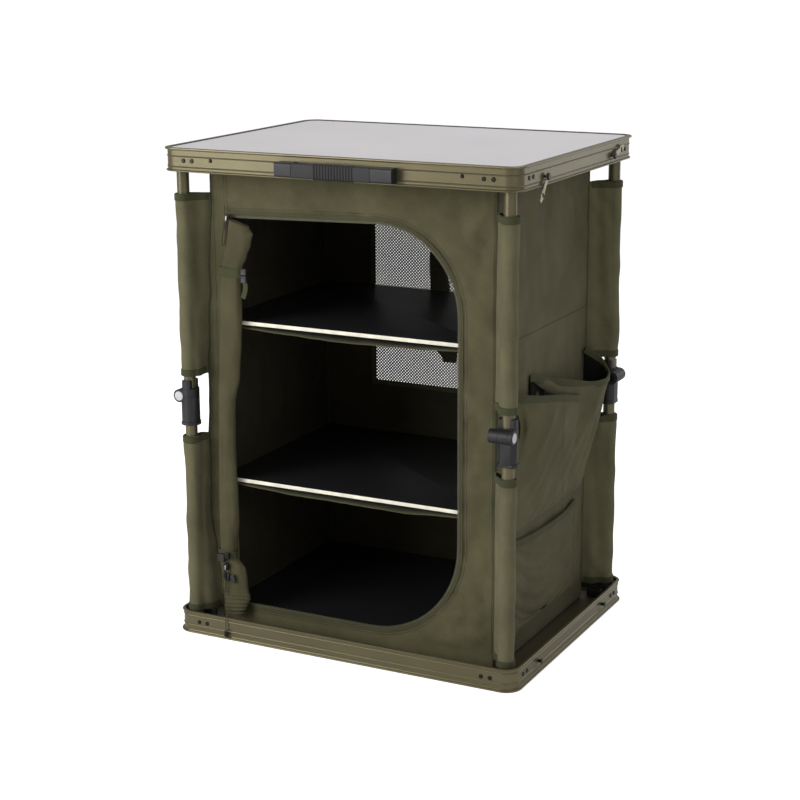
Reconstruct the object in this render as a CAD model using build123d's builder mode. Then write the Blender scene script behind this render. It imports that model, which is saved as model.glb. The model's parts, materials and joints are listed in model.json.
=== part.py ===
from build123d import *
import math
import os

# Folding storage cupboard: two trays, four folding legs, a fabric cabinet and two shelves.
# Millimetres. The origin is the middle of the underside, +X is right, +Y is back, +Z is up.

# Overall size, standing open
width = 600.0
depth = 466.0
height = 784.0

# Tray rims: a rolled wall with a flange on its flat side and a lip on its open side
rim_height = 36.0
rim_wall = 2.0
corner_radius = 26.0
flange_overhang = 4.0
flange_width = 8.0
flange_thickness = 3.0
lip_overhang = 2.5
lip_thickness = 2.5
rib_overhang = 1.2
rib_width = 1.6
rib_spots = (12.0, 28.0)
ledge_reach = 10.0
ledge_thickness = 1.6

# Clearances: between still pieces, in a running fit, and at the sides of a leg's slot
fit_gap = 0.3
running_gap = 0.05
slot_gap = 0.5

# Boards
board_thickness = 5.4
board_recess = 0.6
floor_rise = 31.0
floor_thickness = 5.0
shelf_thickness = 6.0
shelf_gap = 0.4
lower_compartment = 212.5
middle_compartment = 251.5
stack_gap = 0.6

# Legs: a lower and an upper tube joined by an offset knee
leg_inset = 26.0
tube_radius = 9.5
tube_wall = 1.2
foot_height = 22.0
foot_pin_radius = 3.0
knee_offset = 12.0
folded_gap = 0.9

# Fabric sleeves on the legs
sleeve_cloth = 1.4
sleeve_foot_gap = 3.0
bare_tube_low = 19.0
bare_tube_high = 7.0
sleeve_head_gap = 36.0

# Knee joint
socket_wall = 5.0
socket_depth = 47.0
socket_flare = 1.2
flare_height = 5.0
barrel_radius = 10.5
barrel_gap = 0.4
barrel_outer_end = 14.2
barrel_inner_end = 23.4
lug_outer = 7.0
lug_inner = 9.0
ear_height = 13.0
ear_wall = 4.5
ear_width = 15.0
knee_pin_radius = 4.0
disc_radius = 7.5
disc_thickness = 1.2
washer_radius = 6.0

# Corner brackets
bracket_height = 22.4
bracket_wall = 7.0
bracket_reach = 26.0
bracket_arm = 37.0
bracket_arm_thickness = 4.5
slot_step = 6.0

# Fasteners
fixing_height = 19.0
rivets_front = (42.7, 57.5)
rivets_side = (40.0, 55.0)
rivet_radius = 2.0
rivet_head_radius = 3.8
rivet_head = 1.4
front_screw_inset = 91.0
front_screw_drop = 17.0
screw_radius = 1.9
screw_head_radius = 3.2
screw_head = 2.2
fixing_tail = 1.0

# Latch hooks
hook_inset = 98.0
hook_drop = 23.5
hook_width = 8.0
hook_thickness = 1.5
hook_tail = 8.6
hook_eye_wall = 3.3
hook_boss_radius = 6.0
hook_boss = 2.6
hook_stand = 0.7
stud_radius = 2.5
stud_head_radius = 4.0
stud_head = 1.6
front_hook_angle = 38.0
back_hook_angle = 105.0

# Carrying handle
handle_middle = 6.5
grip_length = 129.8
left_cap = 28.5
right_cap = 35.0
handle_height = 22.0
handle_stand = 19.0
handle_drop = 21.4
grip_thickness = 8.0
handle_pivot_stand = 6.5
handle_pin_radius = 2.5
handle_pin_length = 6.0
cheek_width = 6.0
cheek_radius = 5.0
cap_rounding = 4.0
grip_rounding = 3.0

# Fabric cabinet
cabinet_inset_side = 58.0
cabinet_inset_front = 53.0
fabric = 1.6
fabric_bottom = 8.0
door_left_margin = 52.0
door_right_margin = 59.0
door_sill = 9.0
door_head = 107.0
door_top_radius = 135.0
door_bottom_radius = 150.0
window_width = 298.0
window_height = 359.0
window_head = 84.0
mesh_columns = 18
mesh_rows = 16
mesh_strand = 3.2
mesh_thickness = 0.8
sling_drop = 12.0
sling_margin = 1.0
wing_thickness = 1.4
wing_margin = 8.0

# Door rolled up at the left of the doorway and tied twice
roll_margin = 23.0
roll_corner = 4.0
roll_width = 30.0
roll_depth = 18.0
neck_width = 20.0
neck_depth = 12.0
foot_tuck = 2.0
low_tuck = 3.0
shoulder_spread = 6.0
head_spread = 10.0
low_tie = 66.0
high_tie = 68.0
tie_height = 14.0
tie_thickness = 1.4

# Pockets on the right side
pocket_front_margin = 12.0
pocket_back_margin = 14.0
pocket_height = 251.0
pocket_stand = 34.0
pocket_foot = 5.0
low_pocket_front = -130.0
low_pocket_back = 136.0
low_pocket_height = 152.0
low_pocket_stand = 9.0
low_pocket_foot = 4.0
pocket_seam = 3.0

# Window cover gathered on the back
flap_x = -20.0
flap_head = 12.0
flap_tail = 47.0
flap_width = 40.0
flap_depth = 12.0
flap_corner = 2.5

os.makedirs("parts", exist_ok=True)

# Places worked out from the sizes above
inner_inset = flange_overhang + rim_wall
ledge_inset = inner_inset + ledge_reach
ledge_level = board_recess + board_thickness
panel_inset = flange_width + fit_gap
block_bottom = ledge_level + ledge_thickness
bracket_top = block_bottom + bracket_height
leg_x = width / 2 - leg_inset
leg_y = depth / 2 - leg_inset
knee = height / 2
wall_front = depth / 2 - flange_overhang
wall_side = width / 2 - flange_overhang
middle = Plane.XY.offset(knee)

sleeve_bore = tube_radius + slot_gap
sleeve_radius = sleeve_bore + sleeve_cloth
slot_half_width = tube_radius + slot_gap
slot_wide_half = sleeve_radius + slot_gap
bracket_half_width = slot_half_width + bracket_wall
socket_radius = tube_radius + socket_wall
socket_bottom = knee - socket_depth
tube_setback = barrel_radius + 3 * slot_gap
sleeve_bottom = bracket_top + sleeve_foot_gap
sleeve_low_end = socket_bottom - bare_tube_low
sleeve_high_start = knee + tube_setback + ear_height + bare_tube_high
sleeve_top = height - rim_height - sleeve_head_gap

cabinet_width = width - 2 * cabinet_inset_side
cabinet_depth = depth - 2 * cabinet_inset_front
shelf_width = cabinet_width - 2 * fabric - 2 * shelf_gap
shelf_depth = cabinet_depth - 2 * fabric - 2 * shelf_gap
fabric_top = height - ledge_level - fit_gap
inside_front = cabinet_depth / 2 - fabric
floor_level = ledge_level + floor_rise
lower_shelf_level = floor_level + lower_compartment
upper_shelf_level = lower_shelf_level + shelf_thickness + middle_compartment
door_left = -cabinet_width / 2 + door_left_margin
door_right = cabinet_width / 2 - door_right_margin
door_bottom = floor_level + door_sill
door_top = height - door_head
window_top = height - window_head
window_bottom = window_top - window_height
pocket_wall = cabinet_width / 2 + fit_gap
low_pocket_floor = floor_level + pocket_seam
pocket_floor = low_pocket_floor + low_pocket_height + 4 * pocket_seam

# Fold: each half leg turns until the two trays meet, with a small gap
leg_length = knee - foot_height
folded_height = 2 * rim_height + folded_gap
fold_rise = folded_height / 2 - foot_height
fold_reach = math.hypot(leg_length, knee_offset)
fold_limit = math.acos(fold_rise / fold_reach) + math.atan2(knee_offset, leg_length)
notch_distance = folded_height - hook_drop - fixing_height
notch_half_width = stud_radius + fit_gap
lower_shelf_travel = lower_shelf_level - floor_level - stack_gap
upper_shelf_folded = floor_level + shelf_thickness + 2 * stack_gap
upper_shelf_rise = height - folded_height - upper_shelf_level + upper_shelf_folded

# Each leg: its place, the way that it folds, and the way out of the case along its pins
legs = {
    "fl": ((-leg_x, -leg_y), (1, 0, 0), (0, -1, 0)),
    "fr": ((leg_x, -leg_y), (0, 1, 0), (1, 0, 0)),
    "br": ((leg_x, leg_y), (-1, 0, 0), (0, 1, 0)),
    "bl": ((-leg_x, leg_y), (0, -1, 0), (-1, 0, 0)),
}

# Outside faces of the rim walls, each with its normal pointing out
front_wall = Plane.XZ.offset(wall_front)
back_wall_plane = Plane(origin=(0, wall_front, 0), x_dir=(-1, 0, 0), z_dir=(0, 1, 0))
right_wall = Plane.YZ.offset(wall_side)
left_wall = Plane(origin=(-wall_side, 0, 0), x_dir=(0, -1, 0), z_dir=(-1, 0, 0))


def write(part, name):
    """Labels a finished piece and writes it to its file."""
    part.part.label = name
    export_step(part.part, f"parts/{name}.step")


def level_plane(leg, level):
    """A level plane on a leg's axis, with its x along the fold."""
    place, fold, _ = legs[leg]
    return Plane(origin=(place[0], place[1], level), x_dir=fold, z_dir=(0, 0, 1))


def pin_plane(leg, inward, level):
    """An upright plane facing out along a leg's pins, inward of the leg's axis."""
    place, fold, out = legs[leg]
    origin = (place[0] - out[0] * inward, place[1] - out[1] * inward, level)
    return Plane(origin=origin, x_dir=fold, z_dir=out)


def ring(plane, outer, inner, thickness):
    """Adds a rounded ring between two insets from the overall outline."""
    with BuildSketch(plane) as outline:
        RectangleRounded(width - 2 * outer, depth - 2 * outer, corner_radius - outer)
        RectangleRounded(
            width - 2 * inner, depth - 2 * inner, max(corner_radius - inner, 2), mode=Mode.SUBTRACT
        )
    extrude(outline.sketch, amount=thickness)


def spread(span, insets, level):
    """Points at each inset from both ends of a span."""
    return [(side * (span / 2 - inset), level) for side in (-1, 1) for inset in insets]


def drill(plane, spots, radius, through):
    """Cuts round holes inward from a wall's outside face."""
    with BuildSketch(plane) as holes:
        with Locations(*spots):
            Circle(radius)
    extrude(holes.sketch, amount=-through, mode=Mode.SUBTRACT)


def fasteners(plane, spots, head_radius, head, shank_radius, shank):
    """Adds domed heads on a wall and the shanks that go through it."""
    with BuildSketch(plane) as heads:
        with Locations(*spots):
            Circle(head_radius)
    extrude(heads.sketch, amount=head, taper=30)
    with BuildSketch(plane) as shanks:
        with Locations(*spots):
            Circle(shank_radius)
    extrude(shanks.sketch, amount=-shank)


def disc(plane, radius, thickness, mode=Mode.ADD):
    """Adds or cuts a round disc on a plane."""
    with BuildSketch(plane) as outline:
        Circle(radius)
    extrude(outline.sketch, amount=thickness, mode=mode)


def fixing_spots():
    """Each wall's plane with the rivets along it."""
    across = spread(width, rivets_front, fixing_height)
    along = spread(depth, rivets_side, fixing_height)
    return ((front_wall, across), (back_wall_plane, across), (right_wall, along), (left_wall, along))


def latch_spots(level):
    """The right and left walls with the two latches along each."""
    spots = spread(depth, (hook_inset,), level)
    return ((right_wall, spots), (left_wall, spots))


# The rim that both trays share, with its rivet holes
with BuildPart() as tray_rim:
    ring(Plane.XY, 0, flange_width, flange_thickness)
    ring(Plane.XY, flange_overhang, inner_inset, rim_height)
    lip = Plane.XY.offset(rim_height - lip_thickness)
    ring(lip, flange_overhang - lip_overhang, inner_inset, lip_thickness)
    for spot in rib_spots:
        ring(Plane.XY.offset(spot), flange_overhang - rib_overhang, inner_inset, rib_width)
    ring(Plane.XY.offset(ledge_level), inner_inset - rim_wall / 2, ledge_inset, ledge_thickness)
    for wall, spots in fixing_spots():
        drill(wall.offset(flange_overhang), spots, rivet_radius + running_gap, 2 * inner_inset)

# Bottom tray
with BuildPart() as bottom_rim:
    add(tray_rim.part)
    for wall, spots in latch_spots(fixing_height):
        drill(wall.offset(flange_overhang), spots, stud_radius + running_gap, 2 * inner_inset)
write(bottom_rim, "bottom_rim")

with BuildPart() as bottom_panel:
    with BuildSketch():
        RectangleRounded(
            width - 2 * panel_inset, depth - 2 * panel_inset, corner_radius - panel_inset
        )
    extrude(amount=ledge_level)
write(bottom_panel, "bottom_panel")

with BuildPart() as floor_board:
    with BuildSketch(Plane.XY.offset(ledge_level)):
        Rectangle(shelf_width, shelf_depth)
    extrude(amount=floor_level - ledge_level)
    with BuildSketch(Plane.XY.offset(ledge_level)):
        Rectangle(shelf_width - 2 * floor_thickness, shelf_depth - 2 * floor_thickness)
    extrude(amount=floor_level - floor_thickness - ledge_level, mode=Mode.SUBTRACT)
write(floor_board, "floor_board")

# Corner brackets: a slotted block round each foot, with an arm along each wall
with BuildPart() as bottom_corner_brackets:
    for leg in legs:
        with BuildSketch(level_plane(leg, block_bottom)):
            with Locations((-leg_inset + inner_inset, -leg_inset + inner_inset)):
                corner_align = (Align.MIN, Align.MIN)
                Rectangle(leg_inset - inner_inset + bracket_arm, bracket_arm_thickness, align=corner_align)
                Rectangle(bracket_arm_thickness, leg_inset - inner_inset + bracket_arm, align=corner_align)
            with Locations((-leg_inset + inner_inset, 0)):
                block_length = leg_inset - inner_inset + bracket_reach
                Rectangle(block_length, 2 * bracket_half_width, align=(Align.MIN, Align.CENTER))
    extrude(amount=bracket_top - block_bottom)
    with BuildSketch(Plane.XY.offset(block_bottom)):
        RectangleRounded(
            width - 2 * inner_inset - running_gap,
            depth - 2 * inner_inset - running_gap,
            corner_radius - inner_inset - running_gap,
        )
    extrude(amount=bracket_top - block_bottom, mode=Mode.INTERSECT)
    for leg in legs:
        slot_align = (Align.MIN, Align.CENTER)
        with BuildSketch(level_plane(leg, foot_height - slot_half_width)):
            with Locations((-slot_half_width, 0)):
                Rectangle(slot_half_width + bracket_reach, 2 * slot_half_width, align=slot_align)
    extrude(amount=bracket_top, mode=Mode.SUBTRACT)
    for leg in legs:
        with BuildSketch(level_plane(leg, foot_height - slot_wide_half)):
            with Locations((slot_step, 0)):
                Rectangle(bracket_reach, 2 * slot_wide_half, align=slot_align)
    extrude(amount=bracket_top, mode=Mode.SUBTRACT)
    for leg in legs:
        foot_axis = pin_plane(leg, bracket_half_width, foot_height)
        disc(foot_axis, foot_pin_radius + running_gap, 2 * bracket_half_width, Mode.SUBTRACT)
    for wall, spots in fixing_spots():
        drill(wall, spots, rivet_radius + running_gap, 2 * inner_inset)
write(bottom_corner_brackets, "bottom_corner_brackets")

with BuildPart() as bottom_rivets:
    for wall, spots in fixing_spots():
        shank = rim_wall + bracket_arm_thickness + fixing_tail
        fasteners(wall, spots, rivet_head_radius, rivet_head, rivet_radius, shank)
write(bottom_rivets, "bottom_rivets")

with BuildPart() as bottom_leg_pins:
    for leg in legs:
        disc(pin_plane(leg, bracket_half_width, foot_height), foot_pin_radius, 2 * bracket_half_width)
write(bottom_leg_pins, "bottom_leg_pins")

# Catch studs: a neck that the hook's notch takes, and a head outside it
with BuildPart() as catch_studs:
    neck = lip_overhang + hook_stand + hook_thickness + fit_gap
    neck_root = rim_wall + fixing_tail
    for wall, spots in latch_spots(fixing_height):
        with BuildSketch(wall.offset(-neck_root)) as necks:
            with Locations(*spots):
                Circle(stud_radius)
        extrude(necks.sketch, amount=neck_root + neck)
        with BuildSketch(wall.offset(neck)) as caps:
            with Locations(*spots):
                Circle(stud_head_radius)
        extrude(caps.sketch, amount=stud_head)
write(catch_studs, "catch_studs")

# Top tray, the bottom tray turned over
with BuildPart() as top_rim:
    mirror(tray_rim.part, about=middle)
    for wall, spots in latch_spots(height - hook_drop):
        drill(wall.offset(flange_overhang), spots, screw_radius + running_gap, 2 * inner_inset)
    screw_spots = spread(width, (front_screw_inset,), height - front_screw_drop)
    drill(front_wall.offset(flange_overhang), screw_spots, screw_radius + running_gap, 2 * inner_inset)
write(top_rim, "top_rim")

with BuildPart() as top_board:
    with BuildSketch(Plane.XY.offset(height - ledge_level)):
        RectangleRounded(
            width - 2 * panel_inset, depth - 2 * panel_inset, corner_radius - panel_inset
        )
    extrude(amount=board_thickness)
write(top_board, "top_board")

with BuildPart() as top_corner_brackets:
    mirror(bottom_corner_brackets.part, about=middle)
write(top_corner_brackets, "top_corner_brackets")

with BuildPart() as top_rivets:
    mirror(bottom_rivets.part, about=middle)
write(top_rivets, "top_rivets")

with BuildPart() as top_leg_pins:
    mirror(bottom_leg_pins.part, about=middle)
write(top_leg_pins, "top_leg_pins")

with BuildPart() as top_screws:
    screw_length = rim_wall + fixing_tail
    fasteners(front_wall, screw_spots, screw_head_radius, screw_head, screw_radius, screw_length)
    boss_stand = lip_overhang + hook_stand + hook_thickness + running_gap
    for wall, spots in latch_spots(height - hook_drop):
        boss_face = wall.offset(boss_stand)
        boss_length = boss_stand + screw_length
        fasteners(boss_face, spots, hook_boss_radius, hook_boss, screw_radius, boss_length)
write(top_screws, "top_screws")

# Legs
for leg in legs:
    # Lower tube, rounded about its foot pin
    with BuildPart() as lower_tube:
        with BuildSketch(level_plane(leg, foot_height - tube_radius)):
            Circle(tube_radius)
            Circle(tube_radius - tube_wall, mode=Mode.SUBTRACT)
        extrude(amount=knee - tube_setback - foot_height + tube_radius)
        with BuildSketch(pin_plane(leg, tube_radius, foot_height)):
            Circle(tube_radius)
            Rectangle(2 * tube_radius, knee, align=(Align.CENTER, Align.MIN))
        extrude(amount=2 * tube_radius, mode=Mode.INTERSECT)
        foot_axis = pin_plane(leg, tube_radius, foot_height)
        disc(foot_axis, foot_pin_radius + running_gap, 2 * tube_radius, Mode.SUBTRACT)
    write(lower_tube, f"lower_tube_{leg}")

    with BuildPart() as upper_tube:
        mirror(lower_tube.part, about=middle)
    write(upper_tube, f"upper_tube_{leg}")

    # Fabric sleeves round the tubes
    with BuildPart() as sleeve_lower:
        with BuildSketch(level_plane(leg, sleeve_bottom)):
            Circle(sleeve_radius)
            Circle(sleeve_bore, mode=Mode.SUBTRACT)
        extrude(amount=sleeve_low_end - sleeve_bottom)
    write(sleeve_lower, f"sleeve_lower_{leg}")

    with BuildPart() as sleeve_upper:
        with BuildSketch(level_plane(leg, sleeve_high_start)):
            Circle(sleeve_radius)
            Circle(sleeve_bore, mode=Mode.SUBTRACT)
        extrude(amount=sleeve_top - sleeve_high_start)
    write(sleeve_upper, f"sleeve_upper_{leg}")

    # Lower half of the knee: a socket round the tube with one lug
    with BuildPart() as knuckle_lower:
        disc(level_plane(leg, socket_bottom), socket_radius, socket_depth - fit_gap / 2)
        disc(level_plane(leg, socket_bottom), socket_radius + socket_flare, flare_height)
        bore_depth = socket_depth - tube_setback
        bore_radius = tube_radius + running_gap
        disc(level_plane(leg, socket_bottom), bore_radius, bore_depth, Mode.SUBTRACT)
        with BuildSketch(level_plane(leg, socket_bottom)):
            with Locations((-knee_offset + fit_gap, 0)):
                Rectangle(socket_radius, 3 * socket_radius, align=(Align.MAX, Align.CENTER))
        extrude(amount=socket_depth, mode=Mode.SUBTRACT)
        knee_pivot = (-knee_offset, 0)
        for inner_end, outer_end in ((2 * socket_radius, lug_inner), (-lug_outer, -2 * socket_radius)):
            with BuildSketch(pin_plane(leg, inner_end, knee)):
                with Locations(knee_pivot):
                    Circle(barrel_radius + barrel_gap)
            extrude(amount=inner_end - outer_end, mode=Mode.SUBTRACT)
        with BuildSketch(pin_plane(leg, lug_inner, knee)):
            with Locations(knee_pivot):
                Circle(barrel_radius)
        extrude(amount=lug_inner + lug_outer)
        with BuildSketch(pin_plane(leg, lug_inner, knee)):
            with Locations(knee_pivot):
                Circle(knee_pin_radius + running_gap)
        extrude(amount=lug_inner + lug_outer, mode=Mode.SUBTRACT)
    write(knuckle_lower, f"knuckle_lower_{leg}")

    # Upper half of the knee: a block with two ears for the tube and two lugs
    with BuildPart() as knuckle_upper:
        disc(level_plane(leg, knee + fit_gap / 2), socket_radius, tube_setback - fit_gap / 2)
        with BuildSketch(level_plane(leg, knee + tube_setback)):
            Circle(tube_radius + ear_wall)
            Rectangle(ear_width, 3 * socket_radius, mode=Mode.INTERSECT)
            Circle(tube_radius + running_gap, mode=Mode.SUBTRACT)
        extrude(amount=ear_height)
        with BuildSketch(level_plane(leg, knee)):
            with Locations((-knee_offset + fit_gap, 0)):
                Rectangle(socket_radius, 3 * socket_radius, align=(Align.MAX, Align.CENTER))
        extrude(amount=socket_depth, mode=Mode.SUBTRACT)
        lug_space = lug_inner + lug_outer + 2 * fit_gap
        with BuildSketch(pin_plane(leg, lug_inner + fit_gap, knee)):
            with Locations(knee_pivot):
                Circle(barrel_radius + barrel_gap)
        extrude(amount=lug_space, mode=Mode.SUBTRACT)
        outer_lug = (-lug_outer - fit_gap, -barrel_outer_end)
        inner_lug = (barrel_inner_end, lug_inner + fit_gap)
        for inner_end, outer_end in (outer_lug, inner_lug):
            with BuildSketch(pin_plane(leg, inner_end, knee)):
                with Locations(knee_pivot):
                    Circle(barrel_radius)
            extrude(amount=inner_end - outer_end)
            with BuildSketch(pin_plane(leg, inner_end, knee)):
                with Locations(knee_pivot):
                    Circle(knee_pin_radius + running_gap)
            extrude(amount=inner_end - outer_end, mode=Mode.SUBTRACT)
    write(knuckle_upper, f"knuckle_upper_{leg}")

    # Knee pin with its round cap outside and washer inside
    with BuildPart() as knuckle_pin:
        cap_end = -barrel_outer_end - fit_gap / 2
        washer_end = barrel_inner_end + fit_gap / 2
        for inner_end, outer_end, radius in (
            (washer_end, cap_end, knee_pin_radius),
            (cap_end, cap_end - disc_thickness, disc_radius),
            (washer_end + disc_thickness, washer_end, washer_radius),
        ):
            with BuildSketch(pin_plane(leg, inner_end, knee)):
                with Locations(knee_pivot):
                    Circle(radius)
            extrude(amount=inner_end - outer_end)
    write(knuckle_pin, f"knuckle_pin_{leg}")

# Latch hooks: a strip hung on a screw, with a notch that takes the catch stud
hooks = {
    "hook_front_left": (-1, -1, front_hook_angle),
    "hook_front_right": (1, -1, front_hook_angle),
    "hook_back_left": (-1, 1, back_hook_angle),
    "hook_back_right": (1, 1, back_hook_angle),
}
hook_face = wall_side + lip_overhang + hook_stand
hook_length = notch_distance + hook_tail
notch_depth = hook_width / 2 + 1.5
for name, (side, end, angle) in hooks.items():
    swing = math.radians(angle)
    pivot = (side * hook_face, end * (depth / 2 - hook_inset), height - hook_drop)
    up_the_strip = Vector(0, -end * math.sin(swing), math.cos(swing))
    outward = Vector(side, 0, 0)
    hook_plane = Plane(origin=pivot, x_dir=up_the_strip.cross(outward), z_dir=outward)
    # The mouth faces away from the end of the case that the hook swings to
    mouth = -side * end
    with BuildPart() as latch_hook:
        with BuildSketch(hook_plane):
            Circle(screw_radius + hook_eye_wall)
            Rectangle(hook_width, hook_length, align=(Align.CENTER, Align.MAX))
            with Locations((0, -notch_distance)):
                Rectangle(2 * notch_depth, 2 * notch_depth)
            with Locations((0, -hook_length)):
                Circle(hook_width / 2)
            with Locations((0, -notch_distance)):
                Circle(notch_half_width, mode=Mode.SUBTRACT)
                notch_align = (Align.MIN if mouth > 0 else Align.MAX, Align.CENTER)
                Rectangle(hook_width, 2 * notch_half_width, align=notch_align, mode=Mode.SUBTRACT)
            Circle(screw_radius + running_gap, mode=Mode.SUBTRACT)
        extrude(amount=hook_thickness)
    write(latch_hook, name)

# Carrying handle on the front wall
grip_left = handle_middle - grip_length / 2
grip_right = handle_middle + grip_length / 2
grip_face = wall_front + handle_stand
pivot_y = wall_front + handle_pivot_stand
handle_level = height - handle_drop
cap_ends = ((grip_left - fit_gap - left_cap, left_cap), (grip_right + fit_gap, right_cap))
with BuildPart() as handle_brackets:
    for start, length in cap_ends:
        with BuildSketch(Plane.YZ.offset(start)):
            with Locations((-wall_front - rib_overhang, handle_level)):
                cap_depth = handle_stand - rib_overhang
                Rectangle(cap_depth, handle_height, align=(Align.MAX, Align.CENTER))
        extrude(amount=length)
    fillet(edges().filter_by(Axis.X).group_by(Axis.Y)[0], cap_rounding)
    for start, inward in ((grip_left - fit_gap, -1), (grip_right + fit_gap, 1)):
        with BuildSketch(Plane.YZ.offset(start)):
            with Locations((-pivot_y, handle_level)):
                Circle(handle_pin_radius + running_gap)
        extrude(amount=inward * handle_pin_length, mode=Mode.SUBTRACT)
write(handle_brackets, "handle_brackets")

with BuildPart() as handle_grip:
    with BuildSketch(Plane.YZ.offset(grip_left)):
        with Locations((-grip_face, handle_level)):
            Rectangle(grip_thickness, handle_height, align=(Align.MIN, Align.CENTER))
    extrude(amount=grip_length)
    fillet(edges().filter_by(Axis.X), grip_rounding)
    for start in (grip_left, grip_right - cheek_width):
        with BuildSketch(Plane.YZ.offset(start)):
            with Locations((-pivot_y, handle_level)):
                Circle(cheek_radius)
                Rectangle(
                    grip_face - pivot_y - grip_thickness / 2,
                    2 * cheek_radius,
                    align=(Align.MAX, Align.CENTER),
                )
        extrude(amount=cheek_width)
    with BuildSketch(Plane.YZ.offset(grip_left - handle_pin_length)):
        with Locations((-pivot_y, handle_level)):
            Circle(handle_pin_radius)
    extrude(amount=handle_pin_length + cheek_width)
    with BuildSketch(Plane.YZ.offset(grip_right - cheek_width)):
        with Locations((-pivot_y, handle_level)):
            Circle(handle_pin_radius)
    extrude(amount=handle_pin_length + cheek_width)
write(handle_grip, "handle_grip")

# Shelves
for name, level in (("shelf_upper", upper_shelf_level), ("shelf_lower", lower_shelf_level)):
    with BuildPart() as shelf:
        with BuildSketch(Plane.XY.offset(level)):
            RectangleRounded(shelf_width, shelf_depth, 3)
        extrude(amount=shelf_thickness)
    write(shelf, name)

# Fabric cabinet
wall_height = fabric_top - fabric_bottom
with BuildPart() as front_panel:
    with BuildSketch(Plane.XZ.offset(inside_front)):
        with Locations((0, fabric_bottom)):
            Rectangle(cabinet_width, wall_height, align=(Align.CENTER, Align.MIN))
    extrude(amount=fabric)
    with BuildSketch(Plane.XZ.offset(inside_front)) as doorway:
        with Locations((door_left, door_bottom)):
            Rectangle(door_right - door_left, door_top - door_bottom, align=(Align.MIN, Align.MIN))
        right_corners = doorway.vertices().sort_by(Axis.X)[-2:].sort_by(Axis.Y)
        fillet(right_corners[0], door_bottom_radius)
        right_corners = doorway.vertices().sort_by(Axis.Y)[-2:].sort_by(Axis.X)
        fillet(right_corners[1], door_top_radius)
    extrude(amount=fabric, mode=Mode.SUBTRACT)
write(front_panel, "front_panel")

with BuildPart() as side_walls:
    for start in (-cabinet_width / 2, cabinet_width / 2 - fabric):
        with BuildSketch(Plane.YZ.offset(start)):
            with Locations((0, fabric_bottom)):
                Rectangle(2 * inside_front, wall_height, align=(Align.CENTER, Align.MIN))
        extrude(amount=fabric)
write(side_walls, "side_walls")

with BuildPart() as back_wall:
    with BuildSketch(Plane.XZ.offset(-cabinet_depth / 2)):
        with Locations((0, fabric_bottom)):
            Rectangle(cabinet_width, wall_height, align=(Align.CENTER, Align.MIN))
        with Locations((0, (window_bottom + window_top) / 2)):
            Rectangle(window_width, window_height, mode=Mode.SUBTRACT)
    extrude(amount=fabric)
write(back_wall, "back_wall")

mesh_width = window_width - 2 * fit_gap
mesh_height = window_height - 2 * fit_gap
column_pitch = (mesh_width - mesh_strand) / mesh_columns
row_pitch = (mesh_height - mesh_strand) / mesh_rows
with BuildPart() as mesh_window:
    with BuildSketch(Plane.XZ.offset(-cabinet_depth / 2 + fabric / 2 - mesh_thickness / 2)):
        with Locations((0, (window_bottom + window_top) / 2)):
            Rectangle(mesh_width, mesh_height)
            with GridLocations(column_pitch, row_pitch, mesh_columns, mesh_rows):
                Rectangle(column_pitch - mesh_strand, row_pitch - mesh_strand, mode=Mode.SUBTRACT)
    extrude(amount=mesh_thickness)
write(mesh_window, "mesh_window")

# Door rolled up and tied in two places against the left of the front panel
roll_x = door_left - roll_margin
roll_back = -cabinet_depth / 2 - fit_gap
roll_bottom = door_bottom
roll_top = door_top + 2 * tie_thickness
low_tie_level = roll_bottom + low_tie
high_tie_level = roll_top - high_tie
neck_half = tie_height / 2 + 2 * tie_thickness
roll_sections = (
    (roll_bottom, neck_width - foot_tuck, neck_depth - foot_tuck),
    (low_tie_level - 2 * neck_half, roll_width - low_tuck, roll_depth - low_tuck),
    (low_tie_level - neck_half, neck_width, neck_depth),
    (low_tie_level + neck_half, neck_width, neck_depth),
    (low_tie_level + 4 * neck_half, roll_width, roll_depth),
    (high_tie_level - 4 * neck_half, roll_width, roll_depth),
    (high_tie_level - neck_half, neck_width, neck_depth),
    (high_tie_level + neck_half, neck_width, neck_depth),
    (roll_top - neck_half, roll_width + shoulder_spread, roll_depth),
    (roll_top, roll_width + head_spread, neck_depth),
)
with BuildPart() as door_roll:
    for level, section_width, section_depth in roll_sections:
        with BuildSketch(Plane.XY.offset(level)):
            with Locations((roll_x, roll_back - section_depth / 2)):
                RectangleRounded(section_width, section_depth, roll_corner)
    loft(ruled=True)
write(door_roll, "door_roll")

with BuildPart() as door_ties:
    for level in (low_tie_level, high_tie_level):
        tie_reach = neck_depth + fit_gap * 2 + tie_thickness
        with BuildSketch(Plane.XY.offset(level - tie_height / 2)):
            with Locations((roll_x, -cabinet_depth / 2)):
                Rectangle(
                    neck_width + 2 * fit_gap + 2 * tie_thickness,
                    tie_reach,
                    align=(Align.CENTER, Align.MAX),
                )
                Rectangle(
                    neck_width + 2 * fit_gap,
                    tie_reach - tie_thickness,
                    align=(Align.CENTER, Align.MAX),
                    mode=Mode.SUBTRACT,
                )
        extrude(amount=tie_height)
write(door_ties, "door_ties")

# Pockets on the right side: open pouches that lean out from the wall
def pouch(front, back, floor, mouth, foot, stand):
    """Adds a pouch whose outer face leans out towards its open mouth."""
    for inset, mode in ((0, Mode.ADD), (fabric, Mode.SUBTRACT)):
        with BuildSketch(Plane.XZ.offset(-back + inset)) as outline:
            with BuildLine():
                Polyline(
                    (pocket_wall + inset, floor + inset),
                    (pocket_wall + foot - inset, floor + inset),
                    (pocket_wall + stand - inset, mouth + inset),
                    (pocket_wall + inset, mouth + inset),
                    close=True,
                )
            make_face()
        extrude(outline.sketch, amount=back - front - 2 * inset, mode=mode)


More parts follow.
